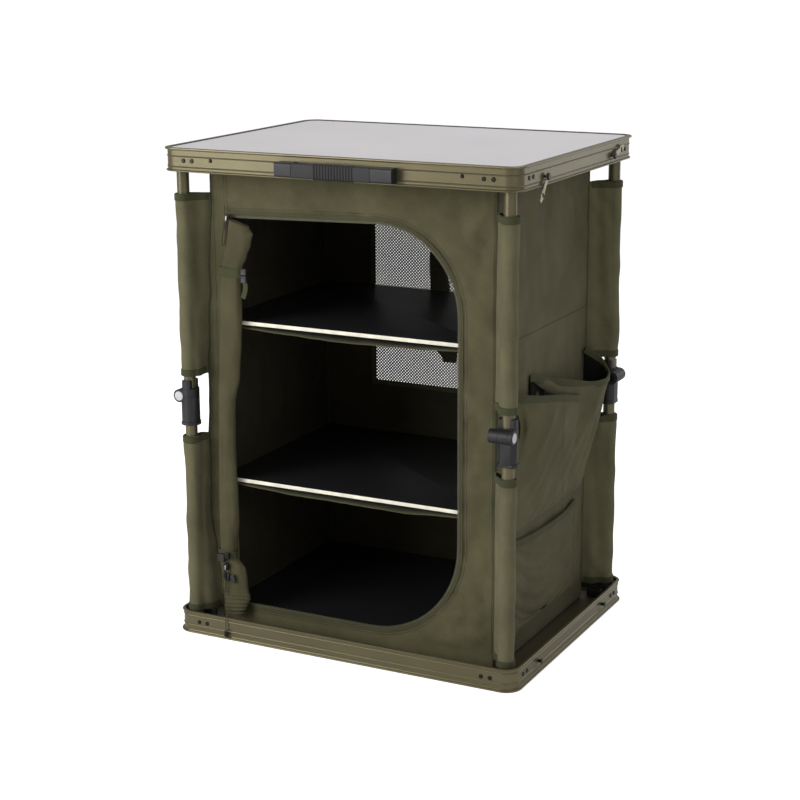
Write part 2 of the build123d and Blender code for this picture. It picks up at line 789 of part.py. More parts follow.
with BuildPart() as upper_pocket:
    pocket_front = -cabinet_depth / 2 + pocket_front_margin
    pocket_back = cabinet_depth / 2 - pocket_back_margin
    pocket_mouth = pocket_floor + pocket_height
    pouch(pocket_front, pocket_back, pocket_floor, pocket_mouth, pocket_foot, pocket_stand)
write(upper_pocket, "upper_pocket")

with BuildPart() as lower_pocket:
    pouch(
        low_pocket_front,
        low_pocket_back,
        low_pocket_floor,
        low_pocket_floor + low_pocket_height,
        low_pocket_foot,
        low_pocket_stand,
    )
write(lower_pocket, "lower_pocket")

# Window cover, gathered in the middle of the window
flap_top = window_top + flap_head
flap_bottom = window_bottom + flap_tail
flap_run = flap_top - flap_bottom
# Each section: how far down the run, the shift to the right, and its share of the width and depth
flap_sections = (
    (0.0, 0.0, 1.5, 0.5),
    (0.2, 0.0, 1.2, 0.8),
    (0.5, -8.0, 0.9, 1.0),
    (0.93, 8.0, 1.0, 1.0),
    (1.0, 14.0, 0.6, 0.6),
)
with BuildPart() as window_flap:
    for down, shift, wide, deep in flap_sections:
        flap_y = cabinet_depth / 2 + fit_gap + deep * flap_depth / 2
        with BuildSketch(Plane.XY.offset(flap_top - down * flap_run)):
            with Locations((flap_x + shift, flap_y)):
                RectangleRounded(wide * flap_width, deep * flap_depth, flap_corner)
    loft(ruled=True)
write(window_flap, "window_flap")

# Leg wings: sheets that join the cabinet's corners to the leg sleeves
corner_run = leg_x - cabinet_width / 2
corner_rise = leg_y - cabinet_depth / 2
wing_length = math.hypot(corner_run, corner_rise) - sleeve_radius - 2 * fit_gap
with BuildPart() as leg_wings:
    for side_x in (-1, 1):
        for side_y in (-1, 1):
            away = (side_x * corner_run, side_y * corner_rise, 0)
            corner = (side_x * cabinet_width / 2, side_y * cabinet_depth / 2)
            for low, high in (
                (sleeve_bottom + wing_margin, sleeve_low_end),
                (sleeve_high_start, sleeve_top - wing_margin),
            ):
                wing_plane = Plane(origin=(corner[0], corner[1], low), x_dir=away, z_dir=(0, 0, 1))
                with BuildSketch(wing_plane) as wing:
                    with Locations((fit_gap, 0)):
                        Rectangle(wing_length, wing_thickness, align=(Align.MIN, Align.CENTER))
                extrude(wing.sketch, amount=high - low)
write(leg_wings, "leg_wings")

# Slings that hang under the shelves
with BuildPart() as shelf_slings:
    sling_end = cabinet_width / 2 - fabric - fit_gap
    for level in (upper_shelf_level, lower_shelf_level):
        top = level - fit_gap
        with BuildSketch(Plane.XZ.offset(sling_margin - inside_front)) as sling:
            with BuildLine():
                ThreePointArc((-sling_end, top), (0, top - sling_drop), (sling_end, top))
                Line((sling_end, top), (sling_end, top - fabric))
                ThreePointArc(
                    (sling_end, top - fabric), (0, top - fabric - sling_drop), (-sling_end, top - fabric)
                )
                Line((-sling_end, top - fabric), (-sling_end, top))
            make_face()
        extrude(sling.sketch, amount=2 * (inside_front - sling_margin))
write(shelf_slings, "shelf_slings")

print("fold limit in degrees", round(math.degrees(fold_limit), 3))
print("lower shelf travel", round(lower_shelf_travel, 2), "a radian", round(lower_shelf_travel / fold_limit, 3))
print("upper shelf rise", round(upper_shelf_rise, 2), "a radian", round(upper_shelf_rise / fold_limit, 3))
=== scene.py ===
"""The finish of a folding camp cupboard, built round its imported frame."""

import json
import math

import bmesh
import bpy
from mathutils import Matrix, Vector, noise
from mathutils.bvhtree import BVHTree


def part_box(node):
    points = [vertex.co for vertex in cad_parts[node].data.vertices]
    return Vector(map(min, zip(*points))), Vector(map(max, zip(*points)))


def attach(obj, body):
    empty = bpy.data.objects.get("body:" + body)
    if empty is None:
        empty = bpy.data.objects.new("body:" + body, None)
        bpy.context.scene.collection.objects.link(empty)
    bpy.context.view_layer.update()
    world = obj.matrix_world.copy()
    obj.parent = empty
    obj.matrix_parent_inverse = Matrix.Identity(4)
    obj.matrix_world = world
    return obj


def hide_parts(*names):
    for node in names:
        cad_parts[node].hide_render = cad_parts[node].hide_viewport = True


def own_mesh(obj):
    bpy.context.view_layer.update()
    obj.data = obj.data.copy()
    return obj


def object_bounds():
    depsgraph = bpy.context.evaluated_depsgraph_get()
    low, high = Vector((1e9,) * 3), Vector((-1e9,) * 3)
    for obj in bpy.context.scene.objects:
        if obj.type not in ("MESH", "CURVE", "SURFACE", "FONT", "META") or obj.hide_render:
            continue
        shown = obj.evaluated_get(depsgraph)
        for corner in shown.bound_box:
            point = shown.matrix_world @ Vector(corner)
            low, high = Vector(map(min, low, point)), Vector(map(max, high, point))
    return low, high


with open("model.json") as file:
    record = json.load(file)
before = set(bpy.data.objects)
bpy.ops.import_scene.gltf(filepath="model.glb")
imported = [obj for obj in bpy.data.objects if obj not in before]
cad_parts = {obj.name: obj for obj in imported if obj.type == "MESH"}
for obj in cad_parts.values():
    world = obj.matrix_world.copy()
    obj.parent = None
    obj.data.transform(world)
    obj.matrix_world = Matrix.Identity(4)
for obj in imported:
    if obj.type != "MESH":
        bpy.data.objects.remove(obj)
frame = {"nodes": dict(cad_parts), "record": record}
cad_low, cad_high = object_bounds()

bl_info = {
    "name": "Folding Camp Cupboard",
    "version": (1, 0, 0),
    "blender": (4, 5, 0),
    "location": "View3D > Sidebar > Cupboard",
    "description": "Dresses the frame of a folding camp cupboard in cloth, paint and plastic",
    "category": "Add Mesh",
}

# Lengths are metres, in the frame's own axes: +X is right, +Y is back, +Z is up

# The body that each node of the frame rides
body_of_node = {
    node: body
    for body, nodes in frame["record"]["behaviour"]["bodies"].items()
    for node in nodes
}

# Distances under which points are merged
merge_distance = 1e-6
cad_merge_distance = 1e-5

# Angles in degrees: faces that count as one, and edges up to which pieces are smooth
flat_angle = 1.5
bevelled_angle = 38.0
metal_angle = 30.0
sleeve_angle = 60.0
roll_angle = 70.0
sheet_angle = 80.0

# Camera, as the photograph was taken
camera_place = (1.2963, -2.5547, 1.1049)
camera_pitch = 75.537
camera_turn = 27.041
camera_roll = -0.314
camera_lens = 82.34

# Cabinet cloth, from the frame
panel_low, panel_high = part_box("front_panel")
back_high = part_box("back_wall")[1]
window_low, window_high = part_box("mesh_window")
cloth_low = Vector((panel_low.x, panel_low.y, panel_low.z))
cloth_high = Vector((panel_high.x, back_high.y, panel_high.z))
shelf_levels = (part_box("shelf_lower")[0].z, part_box("shelf_upper")[0].z)
floor_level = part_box("floor_board")[1].z
tray_low, tray_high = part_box("top_rim")
case_half_width = tray_high.x
case_half_depth = 0.233
case_corner = 0.026

# Doorway in the front panel: square at the left, where the door is sewn on, round at the right
door_left = panel_low.x + 0.034
door_right = panel_high.x - 0.059
door_bottom = 0.046
door_top = 0.684
door_top_fall = 0.007
door_top_radius = 0.135
door_bottom_radius = 0.150
left_side_points = 23

# Height of a tray's rim
rim_height = tray_high.z - tray_low.z

# Heights of the cabinet's front left corner and how far it leans out there
corner_lean = (
    (0.060, 0.0),
    (0.130, 0.009),
    (0.185, 0.0180),
    (0.300, 0.0165),
    (0.400, 0.0140),
    (0.600, 0.0070),
    (0.710, 0.0),
)

leg_names = ("fl", "fr", "br", "bl")

LEFT, RIGHT = Vector((-1, 0, 0)), Vector((1, 0, 0))
FRONT, BACK = Vector((0, -1, 0)), Vector((0, 1, 0))
UP = Vector((0, 0, 1))


def screen_colour(red, green, blue):
    """A colour from 0 to 255 on a screen, in the linear values that a shader takes."""
    steps = (red / 255, green / 255, blue / 255)
    linear = [c / 12.92 if c <= 0.04045 else ((c + 0.055) / 1.055) ** 2.4 for c in steps]
    return (*linear, 1.0)


def length_setting(name, description, default):
    """A length that a user may change, in metres."""
    return bpy.props.FloatProperty(
        name=name, description=description, default=default, min=0.0, precision=5, unit="LENGTH"
    )


def colour_setting(name, description, red, green, blue):
    """A colour that a user may change, given as it looks on a screen."""
    return bpy.props.FloatVectorProperty(
        name=name,
        description=description,
        default=screen_colour(red, green, blue),
        size=4,
        min=0.0,
        max=1.0,
        subtype="COLOR",
    )


class CupboardCloth(bpy.types.PropertyGroup):
    """Sizes of the sewn cloth."""

    thickness: length_setting("Cloth thickness", "Thickness of the cabinet's cloth", 0.0012)
    weave: length_setting("Weave pitch", "Distance between two threads of the cloth", 0.0011)
    mesh: length_setting("Sheet pitch", "Distance between two points of a cloth sheet", 0.009)
    binding: length_setting("Binding width", "Width of the tape round the openings", 0.007)
    hem: length_setting("Hem height", "Height of the hems on sleeves and pockets", 0.011)
    stitch: length_setting("Stitch pitch", "Distance between two stitches", 0.0036)
    tooth: length_setting("Tooth pitch", "Distance between two teeth of the zip", 0.0024)
    net: length_setting("Net pitch", "Distance between two holes of the window net", 0.0039)
    wrinkle: length_setting("Wrinkle depth", "Depth of the soft wrinkles in the cloth", 0.0028)
    slack: bpy.props.FloatProperty(
        name="Spare cloth",
        description="Share by which the cloth is larger than the space between its seams",
        default=0.010,
        min=0.0,
        max=0.1,
        subtype="FACTOR",
    )


class CupboardHardware(bpy.types.PropertyGroup):
    """Sizes of the hard parts' finish."""

    edge: length_setting("Edge rounding", "Radius of the small edges of metal and plastic", 0.0005)
    plastic_edge: length_setting("Moulded edge", "Radius of the edges of moulded parts", 0.0009)
    grip_rib: length_setting("Grip rib pitch", "Distance between two ribs of the handle", 0.0048)
    grip_ribs: bpy.props.IntProperty(
        name="Grip ribs", description="Number of ribs across the handle", default=14, min=2, max=60
    )


class CupboardColours(bpy.types.PropertyGroup):
    """Colours of the finish."""

    cloth: colour_setting("Cloth", "Woven cabinet cloth", 92, 88, 64)
    binding: colour_setting("Binding", "Tapes, hems and straps", 80, 81, 57)
    # Lining: a darker copy of the cloth for the walls' inner side, painted shade inside the cabinet
    lining: colour_setting("Lining", "Coated inner side of the cloth", 50, 46, 30)
    # Sleeve cloth: a lighter copy of the cabinet cloth, painted light on the sleeves and wings
    thin_cloth: colour_setting("Sleeve cloth", "Single cloth of the leg sleeves", 115, 111, 84)
    # Pocket lining: black, painted shade inside the pockets and behind their mouths
    pocket_lining: colour_setting("Pocket lining", "Black lining of the pockets", 14, 13, 10)
    thread: colour_setting("Thread", "Sewing thread", 38, 37, 25)
    paint: colour_setting("Paint", "Powder coat of trays and legs", 108, 101, 74)
    board: colour_setting("Table top", "Pale laminate", 224, 220, 223)
    shelf: colour_setting("Shelf", "Black laminate", 30, 30, 33)
    edging: colour_setting("Shelf edging", "Pale edges of the shelves", 238, 233, 214)
    plastic: colour_setting("Plastic", "Charcoal moulded plastic", 28, 27, 30)
    cap: colour_setting("Cap", "Pale caps of the knees", 196, 198, 202)
    metal: colour_setting("Steel", "Bright steel", 168, 166, 160)
    fixing: colour_setting("Fixings", "Blackened rivets and hooks", 44, 41, 38)
    net: colour_setting("Net", "Strands of the window net", 74, 70, 50)
    hook: colour_setting("Hooks", "Plated steel of the latch hooks", 150, 144, 122)
    tray_floor: colour_setting("Tray floor", "Dark laminate of the tray's floor", 60, 55, 33)
    rubber: colour_setting("Rubber", "Ribbed rubber of the grip", 29, 28, 31)
    floor: colour_setting("Floor", "Plain pale floor", 240, 240, 240)


def settings():
    """The cupboard's cloth, hardware and colour settings."""
    scene = bpy.context.scene
    return scene.cupboard_cloth, scene.cupboard_hardware, scene.cupboard_colours


# Materials


def node(tree, kind, inputs=None, **values):
    """Adds a node, sets its values and links or fills its inputs."""
    made = tree.nodes.new(kind)
    for name, value in values.items():
        setattr(made, name, value)
    for name, value in (inputs or {}).items():
        if isinstance(value, bpy.types.NodeSocket):
            tree.links.new(value, made.inputs[name])
        else:
            made.inputs[name].default_value = value
    return made


def blank(name, roughness, metallic=0.0, **sockets):
    """A new material, its node tree and its shader."""
    material = bpy.data.materials.new(name)
    material.use_nodes = True
    shader = material.node_tree.nodes["Principled BSDF"]
    shader.inputs["Roughness"].default_value = roughness
    shader.inputs["Metallic"].default_value = metallic
    for socket, value in sockets.items():
        shader.inputs[socket.replace("_", " ")].default_value = value
    return material, material.node_tree, shader


def tones(tree, factor, colour, dark, light, low=0.3, high=0.7):
    """A ramp between a darker and a lighter tone of a colour."""
    ramp = node(tree, "ShaderNodeValToRGB", {"Fac": factor})
    for stop, position, share in zip(ramp.color_ramp.elements, (low, high), (dark, light)):
        stop.position = position
        stop.color = tuple(min(1.0, c * share) for c in colour[:3]) + (1.0,)
    return ramp.outputs["Color"]


def bumped(tree, shader, *layers):
    """Stacks bumps on a shader: each layer is a height, a distance and a strength."""
    normal = None
    for height, distance, strength in layers:
        inputs = {"Height": height, "Distance": distance, "Strength": strength}
        if normal is not None:
            inputs["Normal"] = normal
        normal = node(tree, "ShaderNodeBump", inputs).outputs["Normal"]
    tree.links.new(normal, shader.inputs["Normal"])


def grain(tree, vector, scale, detail=3.0, rough=0.55):
    """A noise pattern's value."""
    inputs = {"Vector": vector, "Scale": scale, "Detail": detail, "Roughness": rough}
    return node(tree, "ShaderNodeTexNoise", inputs).outputs["Fac"]


def math_node(tree, operation, first, second=0.5, clamp=False):
    """A sum, product or comparison of two values."""
    return node(
        tree, "ShaderNodeMath", {0: first, 1: second}, operation=operation, use_clamp=clamp
    ).outputs[0]


def blended(tree, first, second, share):
    """A share of one value and the rest of another."""
    most = math_node(tree, "MULTIPLY", first, share)
    rest = math_node(tree, "MULTIPLY", second, 1 - share)
    return math_node(tree, "ADD", most, rest)


def roughened(tree, shader, pattern, low, high):
    """Lets a pattern set a shader's roughness between two values."""
    inputs = {"Value": pattern, "To Min": low, "To Max": high}
    rough = node(tree, "ShaderNodeMapRange", inputs)
    tree.links.new(rough.outputs["Result"], shader.inputs["Roughness"])


def object_place(tree):
    """Places on the object, in metres."""
    return node(tree, "ShaderNodeTexCoord").outputs["Object"]


def woven(name, colour, pitch, contrast=0.2, roughness=0.86):
    """Woven cloth on its UV map in metres, with worn tones."""
    material, tree, shader = blank(name, roughness, Sheen_Weight=0.06, Sheen_Roughness=0.5)
    shader.inputs["Specular IOR Level"].default_value = 0.12
    place = object_place(tree)
    mapped = node(tree, "ShaderNodeUVMap", uv_map="UVMap").outputs["UV"]
    bands = 2 * math.pi / (20 * pitch)
    threads = [
        node(
            tree, "ShaderNodeTexWave", {"Vector": mapped, "Scale": bands}, bands_direction=way
        ).outputs["Fac"]
        for way in ("X", "Y")
    ]
    weave = math_node(tree, "MAXIMUM", threads[0], threads[1])
    broad = grain(tree, place, 14.0, 5.0, 0.62)
    fine = grain(tree, place, 420.0, 2.0, 0.7)
    worn = blended(tree, broad, fine, 0.72)
    base = tones(tree, worn, colour, 1.0 - contrast, 1.0 + contrast, 0.34, 0.66)
    gaps = tones(tree, weave, (1, 1, 1), 0.72, 1.0, 0.35, 0.9)
    inputs = {0: 1.0, 6: base, 7: gaps}
    mixed = node(tree, "ShaderNodeMix", inputs, data_type="RGBA", blend_type="MULTIPLY")
    tree.links.new(mixed.outputs[2], shader.inputs["Base Color"])
    soft = grain(tree, place, 60.0, 4.0, 0.6)
    bumped(tree, shader, (soft, 0.0012, 0.35), (weave, 0.00018, 0.6), (fine, 0.0001, 0.5))
    return material


def painted(name, colour):
    """Metallic powder coat: satin, finely pebbled, with faint scuffs."""
    material, tree, shader = blank(name, 0.34, 0.6, Coat_Weight=0.15, Coat_Roughness=0.25)
    place = object_place(tree)
    pebble = grain(tree, place, 850.0, 2.0)
    cloud = grain(tree, place, 9.0, 4.0)
    inputs = {"Vector": place, "Scale": (24.0, 24.0, 260.0)}
    stretched = node(tree, "ShaderNodeMapping", inputs).outputs["Vector"]
    scuff = math_node(tree, "GREATER_THAN", grain(tree, stretched, 1.0, 6.0, 0.7), 0.69)
    base = tones(tree, cloud, colour, 0.93, 1.06)
    pale = tones(tree, scuff, colour, 1.0, 1.22, 0.2, 0.8)
    share = math_node(tree, "MULTIPLY", scuff, 0.4)
    mixed = node(tree, "ShaderNodeMix", {0: share, 6: base, 7: pale}, data_type="RGBA")
    tree.links.new(mixed.outputs[2], shader.inputs["Base Color"])
    roughened(tree, shader, cloud, 0.28, 0.4)
    bumped(tree, shader, (pebble, 0.00008, 0.5))
    return material


def laminate(name, colour, roughness, speckle):
    """Laminated board: a smooth sheet with fine speckles and faint wear."""
    material, tree, shader = blank(name, roughness)
    place = object_place(tree)
    flecks = grain(tree, place, 700.0, 2.0, 0.7)
    cloud = grain(tree, place, 6.0, 5.0, 0.6)
    both = blended(tree, flecks, cloud, 0.45)
    base = tones(tree, both, colour, 1.0 - speckle, 1.0 + speckle)
    tree.links.new(base, shader.inputs["Base Color"])
    roughened(tree, shader, cloud, roughness - 0.06, roughness + 0.08)
    bumped(tree, shader, (flecks, 0.00004, 0.35))
    return material


def moulded(name, colour, roughness=0.48, pebbling=0.35):
    """Moulded plastic with a fine texture and rubbed places."""
    material, tree, shader = blank(name, roughness)
    place = object_place(tree)
    skin = grain(tree, place, 1100.0, 2.0)
    cloud = grain(tree, place, 45.0, 4.0)
    base = tones(tree, cloud, colour, 0.85, 1.18)
    tree.links.new(base, shader.inputs["Base Color"])
    roughened(tree, shader, cloud, roughness - 0.08, roughness + 0.1)
    bumped(tree, shader, (skin, 0.00007, pebbling))
    return material


def metal(name, colour, roughness, metallic=1.0):
    """Plated or blackened metal with fine tool marks."""
    material, tree, shader = blank(name, roughness, metallic)
    place = object_place(tree)
    marks = grain(tree, place, 520.0, 4.0, 0.7)
    cloud = grain(tree, place, 60.0, 3.0)
    base = tones(tree, cloud, colour, 0.85, 1.15)
    tree.links.new(base, shader.inputs["Base Color"])
    roughened(tree, shader, marks, roughness - 0.1, roughness + 0.12)
    bumped(tree, shader, (marks, 0.00004, 0.4))
    return material


finishes = {}


def make_finishes():
    """Makes every material that the pieces use."""
    cloth, _, colours = settings()
    finishes.update(
        cloth=woven("olive_cloth", colours.cloth, cloth.weave),
        # The inner side of the walls is darker: painted shade inside the cabinet
        lining=woven("painted_shade_inner_cloth", colours.lining, cloth.weave, 0.15, 0.7),
        # A lighter copy of the cloth for the sleeves and wings: painted light
        thin_cloth=woven("sleeve_fabric_painted_light", colours.thin_cloth, cloth.weave),
        # Black inner side of the pockets: painted shade
        pocket_lining=woven("pocket_lining", colours.pocket_lining, cloth.weave, 0.1, 0.8),
        tape=woven("binding_tape", colours.binding, cloth.weave * 1.3, 0.12, 0.8),
        webbing=woven("strap_webbing", colours.binding, cloth.weave * 1.8, 0.15, 0.75),
        net=woven("window_net", colours.net, cloth.weave, 0.1, 0.7),
        thread=moulded("sewing_thread", colours.thread, 0.6, 0.6),
        zip_teeth=moulded("zip_teeth", colours.binding, 0.45, 0.2),
        paint=painted("khaki_powder_coat", colours.paint),
        board=laminate("pale_laminate", colours.board, 0.36, 0.035),
        # Dark edge finish in the fixings' colour: painted shade in the recess round the table top
        board_edge=laminate("board_edge", colours.fixing, 0.6, 0.1),
        tray_floor=laminate("tray_floor_laminate", colours.tray_floor, 0.5, 0.1),
        shelf=laminate("black_laminate", colours.shelf, 0.36, 0.14),
        edging=moulded("pale_edging", colours.edging, 0.45, 0.2),
        plastic=moulded("charcoal_plastic", colours.plastic),
        rubber=moulded("ribbed_rubber", colours.rubber, 0.6, 0.8),
        cap=moulded("pale_cap", colours.cap, 0.4, 0.2),
        steel=metal("bright_steel", colours.metal, 0.32),
        fixing=metal("blackened_steel", colours.fixing, 0.3, 0.8),
        hook=metal("plated_hook", colours.hook, 0.34, 0.7),
    )


# Meshes


def add_piece(name, bm, body, finish, smooth=bevelled_angle):
    """Makes an object of a bmesh, smooth up to an angle, and lets it ride on a body."""
    mesh = bpy.data.meshes.new(name)
    bm.to_mesh(mesh)
    bm.free()
    for key in (finish,) if isinstance(finish, str) else finish:
        mesh.materials.append(finishes[key])
    mesh.shade_smooth()
    mesh.set_sharp_from_angle(angle=math.radians(smooth))
    piece = bpy.data.objects.new(name, mesh)
    bpy.context.scene.collection.objects.link(piece)
    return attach(piece, body)


def modified(piece, kind, **values):
    """Adds a modifier to a piece."""
    modifier = piece.modifiers.new(kind.lower(), kind)
    for name, value in values.items():
        setattr(modifier, name, value)
    return modifier


def applied(piece):
    """Applies a piece's modifiers to its mesh."""
    bpy.context.view_layer.update()
    graph = bpy.context.evaluated_depsgraph_get()
    mesh = bpy.data.meshes.new_from_object(piece.evaluated_get(graph))
    piece.modifiers.clear()
    piece.data = mesh
    return piece


def flattens(piece):
    """Applies a finished cabinet piece's modifiers and gives it its own mesh."""
    applied(piece)
    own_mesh(piece)
    return piece


def rounded(piece, radius, segments=2):
    """Rounds a hard piece's edges."""
    modified(
        piece,
        "BEVEL",
        width=radius,
        segments=segments,
        limit_method="ANGLE",
        angle_limit=math.radians(bevelled_angle),
        harden_normals=True,
        use_clamp_overlap=True,
    )
    return piece


def dressed(cad_node, finish, radius):
    """A clean copy of a CAD node with rounded edges, in the node's place."""
    bm = bmesh.new()
    bm.from_mesh(frame["nodes"][cad_node].data)
    bmesh.ops.remove_doubles(bm, verts=bm.verts, dist=cad_merge_distance)
    bmesh.ops.dissolve_limit(
        bm,
        angle_limit=math.radians(flat_angle),
        verts=bm.verts,
        edges=bm.edges,
        use_dissolve_boundaries=False,
    )
    piece = add_piece(cad_node + "_finish", bm, body_of_node[cad_node], finish)
    rounded(piece, radius)
    applied(piece)
    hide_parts(cad_node)
    return piece


def repainted(cad_node, finish):
    """Gives a CAD node that keeps its shape a better material."""
    mesh = frame["nodes"][cad_node].data
    mesh.materials.clear()
    mesh.materials.append(finishes[finish])


def flat_sheet(corner, across, up, pitch):
    """A grid over a rectangle from one corner, with a UV map in metres."""
    bm = bmesh.new()
    uv = bm.loops.layers.uv.new("UVMap")
    outward = across.cross(up).normalized()
    place = Matrix((across, up, outward)).transposed().to_4x4()
    place.translation = corner + (across + up) / 2
    bmesh.ops.create_grid(
        bm,
        x_segments=max(2, round(across.length / pitch)),
        y_segments=max(2, round(up.length / pitch)),
        size=0.5,
        matrix=place,
        calc_uvs=True,
    )
    for face in bm.faces:
        for loop in face.loops:
            u, v = loop[uv].uv
            loop[uv].uv = (u * across.length, v * up.length)
    return bm


def sweep(bm, section, stations):
    """Extrudes an open line of points from station to station, with a UV map in metres."""
    uv = bm.loops.layers.uv.verify()
    points = [Vector(point) for point in section]
    row = [bm.verts.new(stations[0] @ point) for point in points]
    edges = [bm.edges.new(pair) for pair in zip(row, row[1:])]
    spot = {row[0]: (0.0, 0.0)}
    for before, vert, a, b in zip(row, row[1:], points, points[1:]):
        spot[vert] = (spot[before][0] + (b - a).length, 0.0)
    made, along = [], 0.0
    for start, end in zip(stations, stations[1:]):
        along += max((end.translation - start.translation).length, 1e-6)
        grown = bmesh.ops.extrude_edge_only(bm, edges=edges)["geom"]
        verts = {item for item in grown if isinstance(item, bmesh.types.BMVert)}
        made += [item for item in grown if isinstance(item, bmesh.types.BMFace)]
        for vert in verts:
            others = (edge.other_vert(vert) for edge in vert.link_edges)
            old = next(other for other in others if other not in verts)
            spot[vert] = (spot[old][0], along)
        bmesh.ops.transform(bm, matrix=end @ start.inverted(), verts=list(verts))
        edges = [
            item
            for item in grown
            if isinstance(item, bmesh.types.BMEdge) and set(item.verts) <= verts
        ]
    for face in made:
        for loop in face.loops:
            loop[uv].uv = spot[loop.vert]
    return made


def closed_up(bm, fill=True):
    """Merges a swept piece's seams, fills its ends and turns its faces outwards."""
    bmesh.ops.remove_doubles(bm, verts=bm.verts, dist=merge_distance)
    ends = [edge for edge in bm.edges if edge.is_boundary]
    if fill and ends:
        bmesh.ops.holes_fill(bm, edges=ends, sides=0)
    bmesh.ops.recalc_face_normals(bm, faces=bm.faces)
    return bm


def station(point, *axes):
    """A place with its own three axes."""
    return Matrix.Translation(point) @ Matrix(axes).transposed().to_4x4()


def along_path(points, outward, closed=False):
    """A station at each point of a path, with its y along the path and its z outward."""
    stations = []
    count = len(points)
    for i, point in enumerate(points):
        ahead = points[(i + 1) % count] if closed or i < count - 1 else point
        behind = points[i - 1] if closed or i else point
        along = (ahead - behind).normalized()
        side = along.cross(outward).normalized()
        stations.append(station(point, side, along, side.cross(along)))
    return stations + stations[:1] if closed else stations


def spread(first, last, count):
    """Evenly spaced values or points from the first to the last, one more than the count."""
    return [first + (last - first) * i / count for i in range(count + 1)]


def evenly(points, pitch):
    """Points at an even pitch along a path."""
    spaced, left = [points[0]], pitch
    for a, b in zip(points, points[1:]):
        reach = (b - a).length
        while reach >= left:
            a = a + (b - a) * (left / reach)
            spaced.append(a)
            reach, left = (b - a).length, pitch
        left -= reach
    return spaced


def band_section(width, thickness):
    """A flat band's outline with softened edges."""
    half, lift = width / 2, thickness / 2
    soft = lift * 0.7
    side = [(-half, 0, -lift + soft), (-half, 0, lift - soft)]
    side += [(-half + soft, 0, lift), (half - soft, 0, lift)]
    return side + [(-x, 0, -z) for x, _, z in side] + side[:1]


def add_band(name, points, outward, width, thickness, finish="tape"):
    """A flat tape that follows a path."""
    bm = bmesh.new()
    sweep(bm, band_section(width, thickness), along_path(points, outward))
    return add_piece(name, closed_up(bm), "base", finish)


def add_upright_band(name, points, height, thickness, finish="tape", closed=False):
    """A tape that stands upright along a level path, such as a hem or a tie."""
    bm = bmesh.new()
    before = points[-1:] if closed else points[:1]
    after = points[:1] if closed else points[-1:]
    stations = []
    for a, point, b in zip(before + points, points, points[1:] + after):
        along = (b - a).normalized()
        out = along.cross(UP).normalized()
        stations.append(station(point, out, along, out.cross(along)))
    section = [(z, 0, x) for x, _, z in band_section(height, thickness)]
    sweep(bm, section, stations + stations[:1] if closed else stations)
    return add_piece(name, closed_up(bm), "base", finish)


def add_block(name, place, size, finish, radius):
    """A small rounded block of the cabinet's trim."""
    bm = bmesh.new()
    bmesh.ops.create_cube(bm, size=1.0, matrix=place @ Matrix.Diagonal(size + (1.0,)))
    return flattens(rounded(add_piece(name, bm, "base", finish), radius, 3))


def circle_section(radius, count):
    """A ring of points round a station's y axis, closed on itself."""
    turns = [2 * math.pi * i / count for i in range(count + 1)]
    return [(radius * math.cos(turn), 0, radius * math.sin(turn)) for turn in turns]


def add_cord_piping(name, points, outward, radius, finish="tape", closed=False):
    """A thin round piping sewn along a path."""
    bm = bmesh.new()
    sweep(bm, circle_section(radius, 8), along_path(points, outward, closed))
    return add_piece(name, closed_up(bm), "base", finish)


def repeated(one, places):
    """A bmesh with a copy of one small shape at each place."""
    shape = bpy.data.meshes.new("repeated_shape")
    one.to_mesh(shape)
    one.free()
    bm = bmesh.new()
    now = Matrix.Identity(4)
    for place in places:
        shape.transform(place @ now.inverted())
        now = place
        bm.from_mesh(shape)
    bpy.data.meshes.remove(shape)
    return bm


def add_stitches(name, rows, outward, lift=0.0003):
    """Rows of short stitches, each a rounded thread that lies on the cloth."""
    cloth = settings()[0]
    size = Matrix.Diagonal((0.0006, cloth.stitch * 0.36, 0.0004, 1.0))
    one = bmesh.new()
    bmesh.ops.create_uvsphere(one, u_segments=6, v_segments=4, radius=1.0)
    raised = Matrix.Translation((0, 0, lift)) @ size
    paths = [along_path(evenly(row, cloth.stitch), outward) for row in rows]
    places = [place @ raised for path in paths for place in path]
    return add_piece(name, repeated(one, places), "base", "thread")


def draped_rows(sheet, rows, outward, reach=0.02):
    """Moves rows of points onto a sheet, from outside it."""
    bpy.context.view_layer.update()
    tree = BVHTree.FromObject(sheet, bpy.context.evaluated_depsgraph_get())
    found = []
    for row in rows:
        hits = [tree.ray_cast(point + outward * reach, -outward, 3 * reach)[0] for point in row]
        found.append([hit if hit is not None else point for hit, point in zip(hits, row)])
    return found


def rumple(bm, depth, size, seed, outward=None, hold=None):
    """Moves the points of a sheet in and out by soft noise. hold gives each point's share."""
    bm.normal_update()
    shift = Vector((seed * 3.7, seed * 1.3, seed * 2.1))
    for vert in bm.verts:
        spot = Vector([c / s for c, s in zip(vert.co, size)]) + shift
        amount = depth * (noise.noise(spot) + 0.4 * noise.noise(spot * 2.3))
        if hold is not None:
            amount *= hold(vert.co)
        vert.co += (outward or vert.normal) * amount


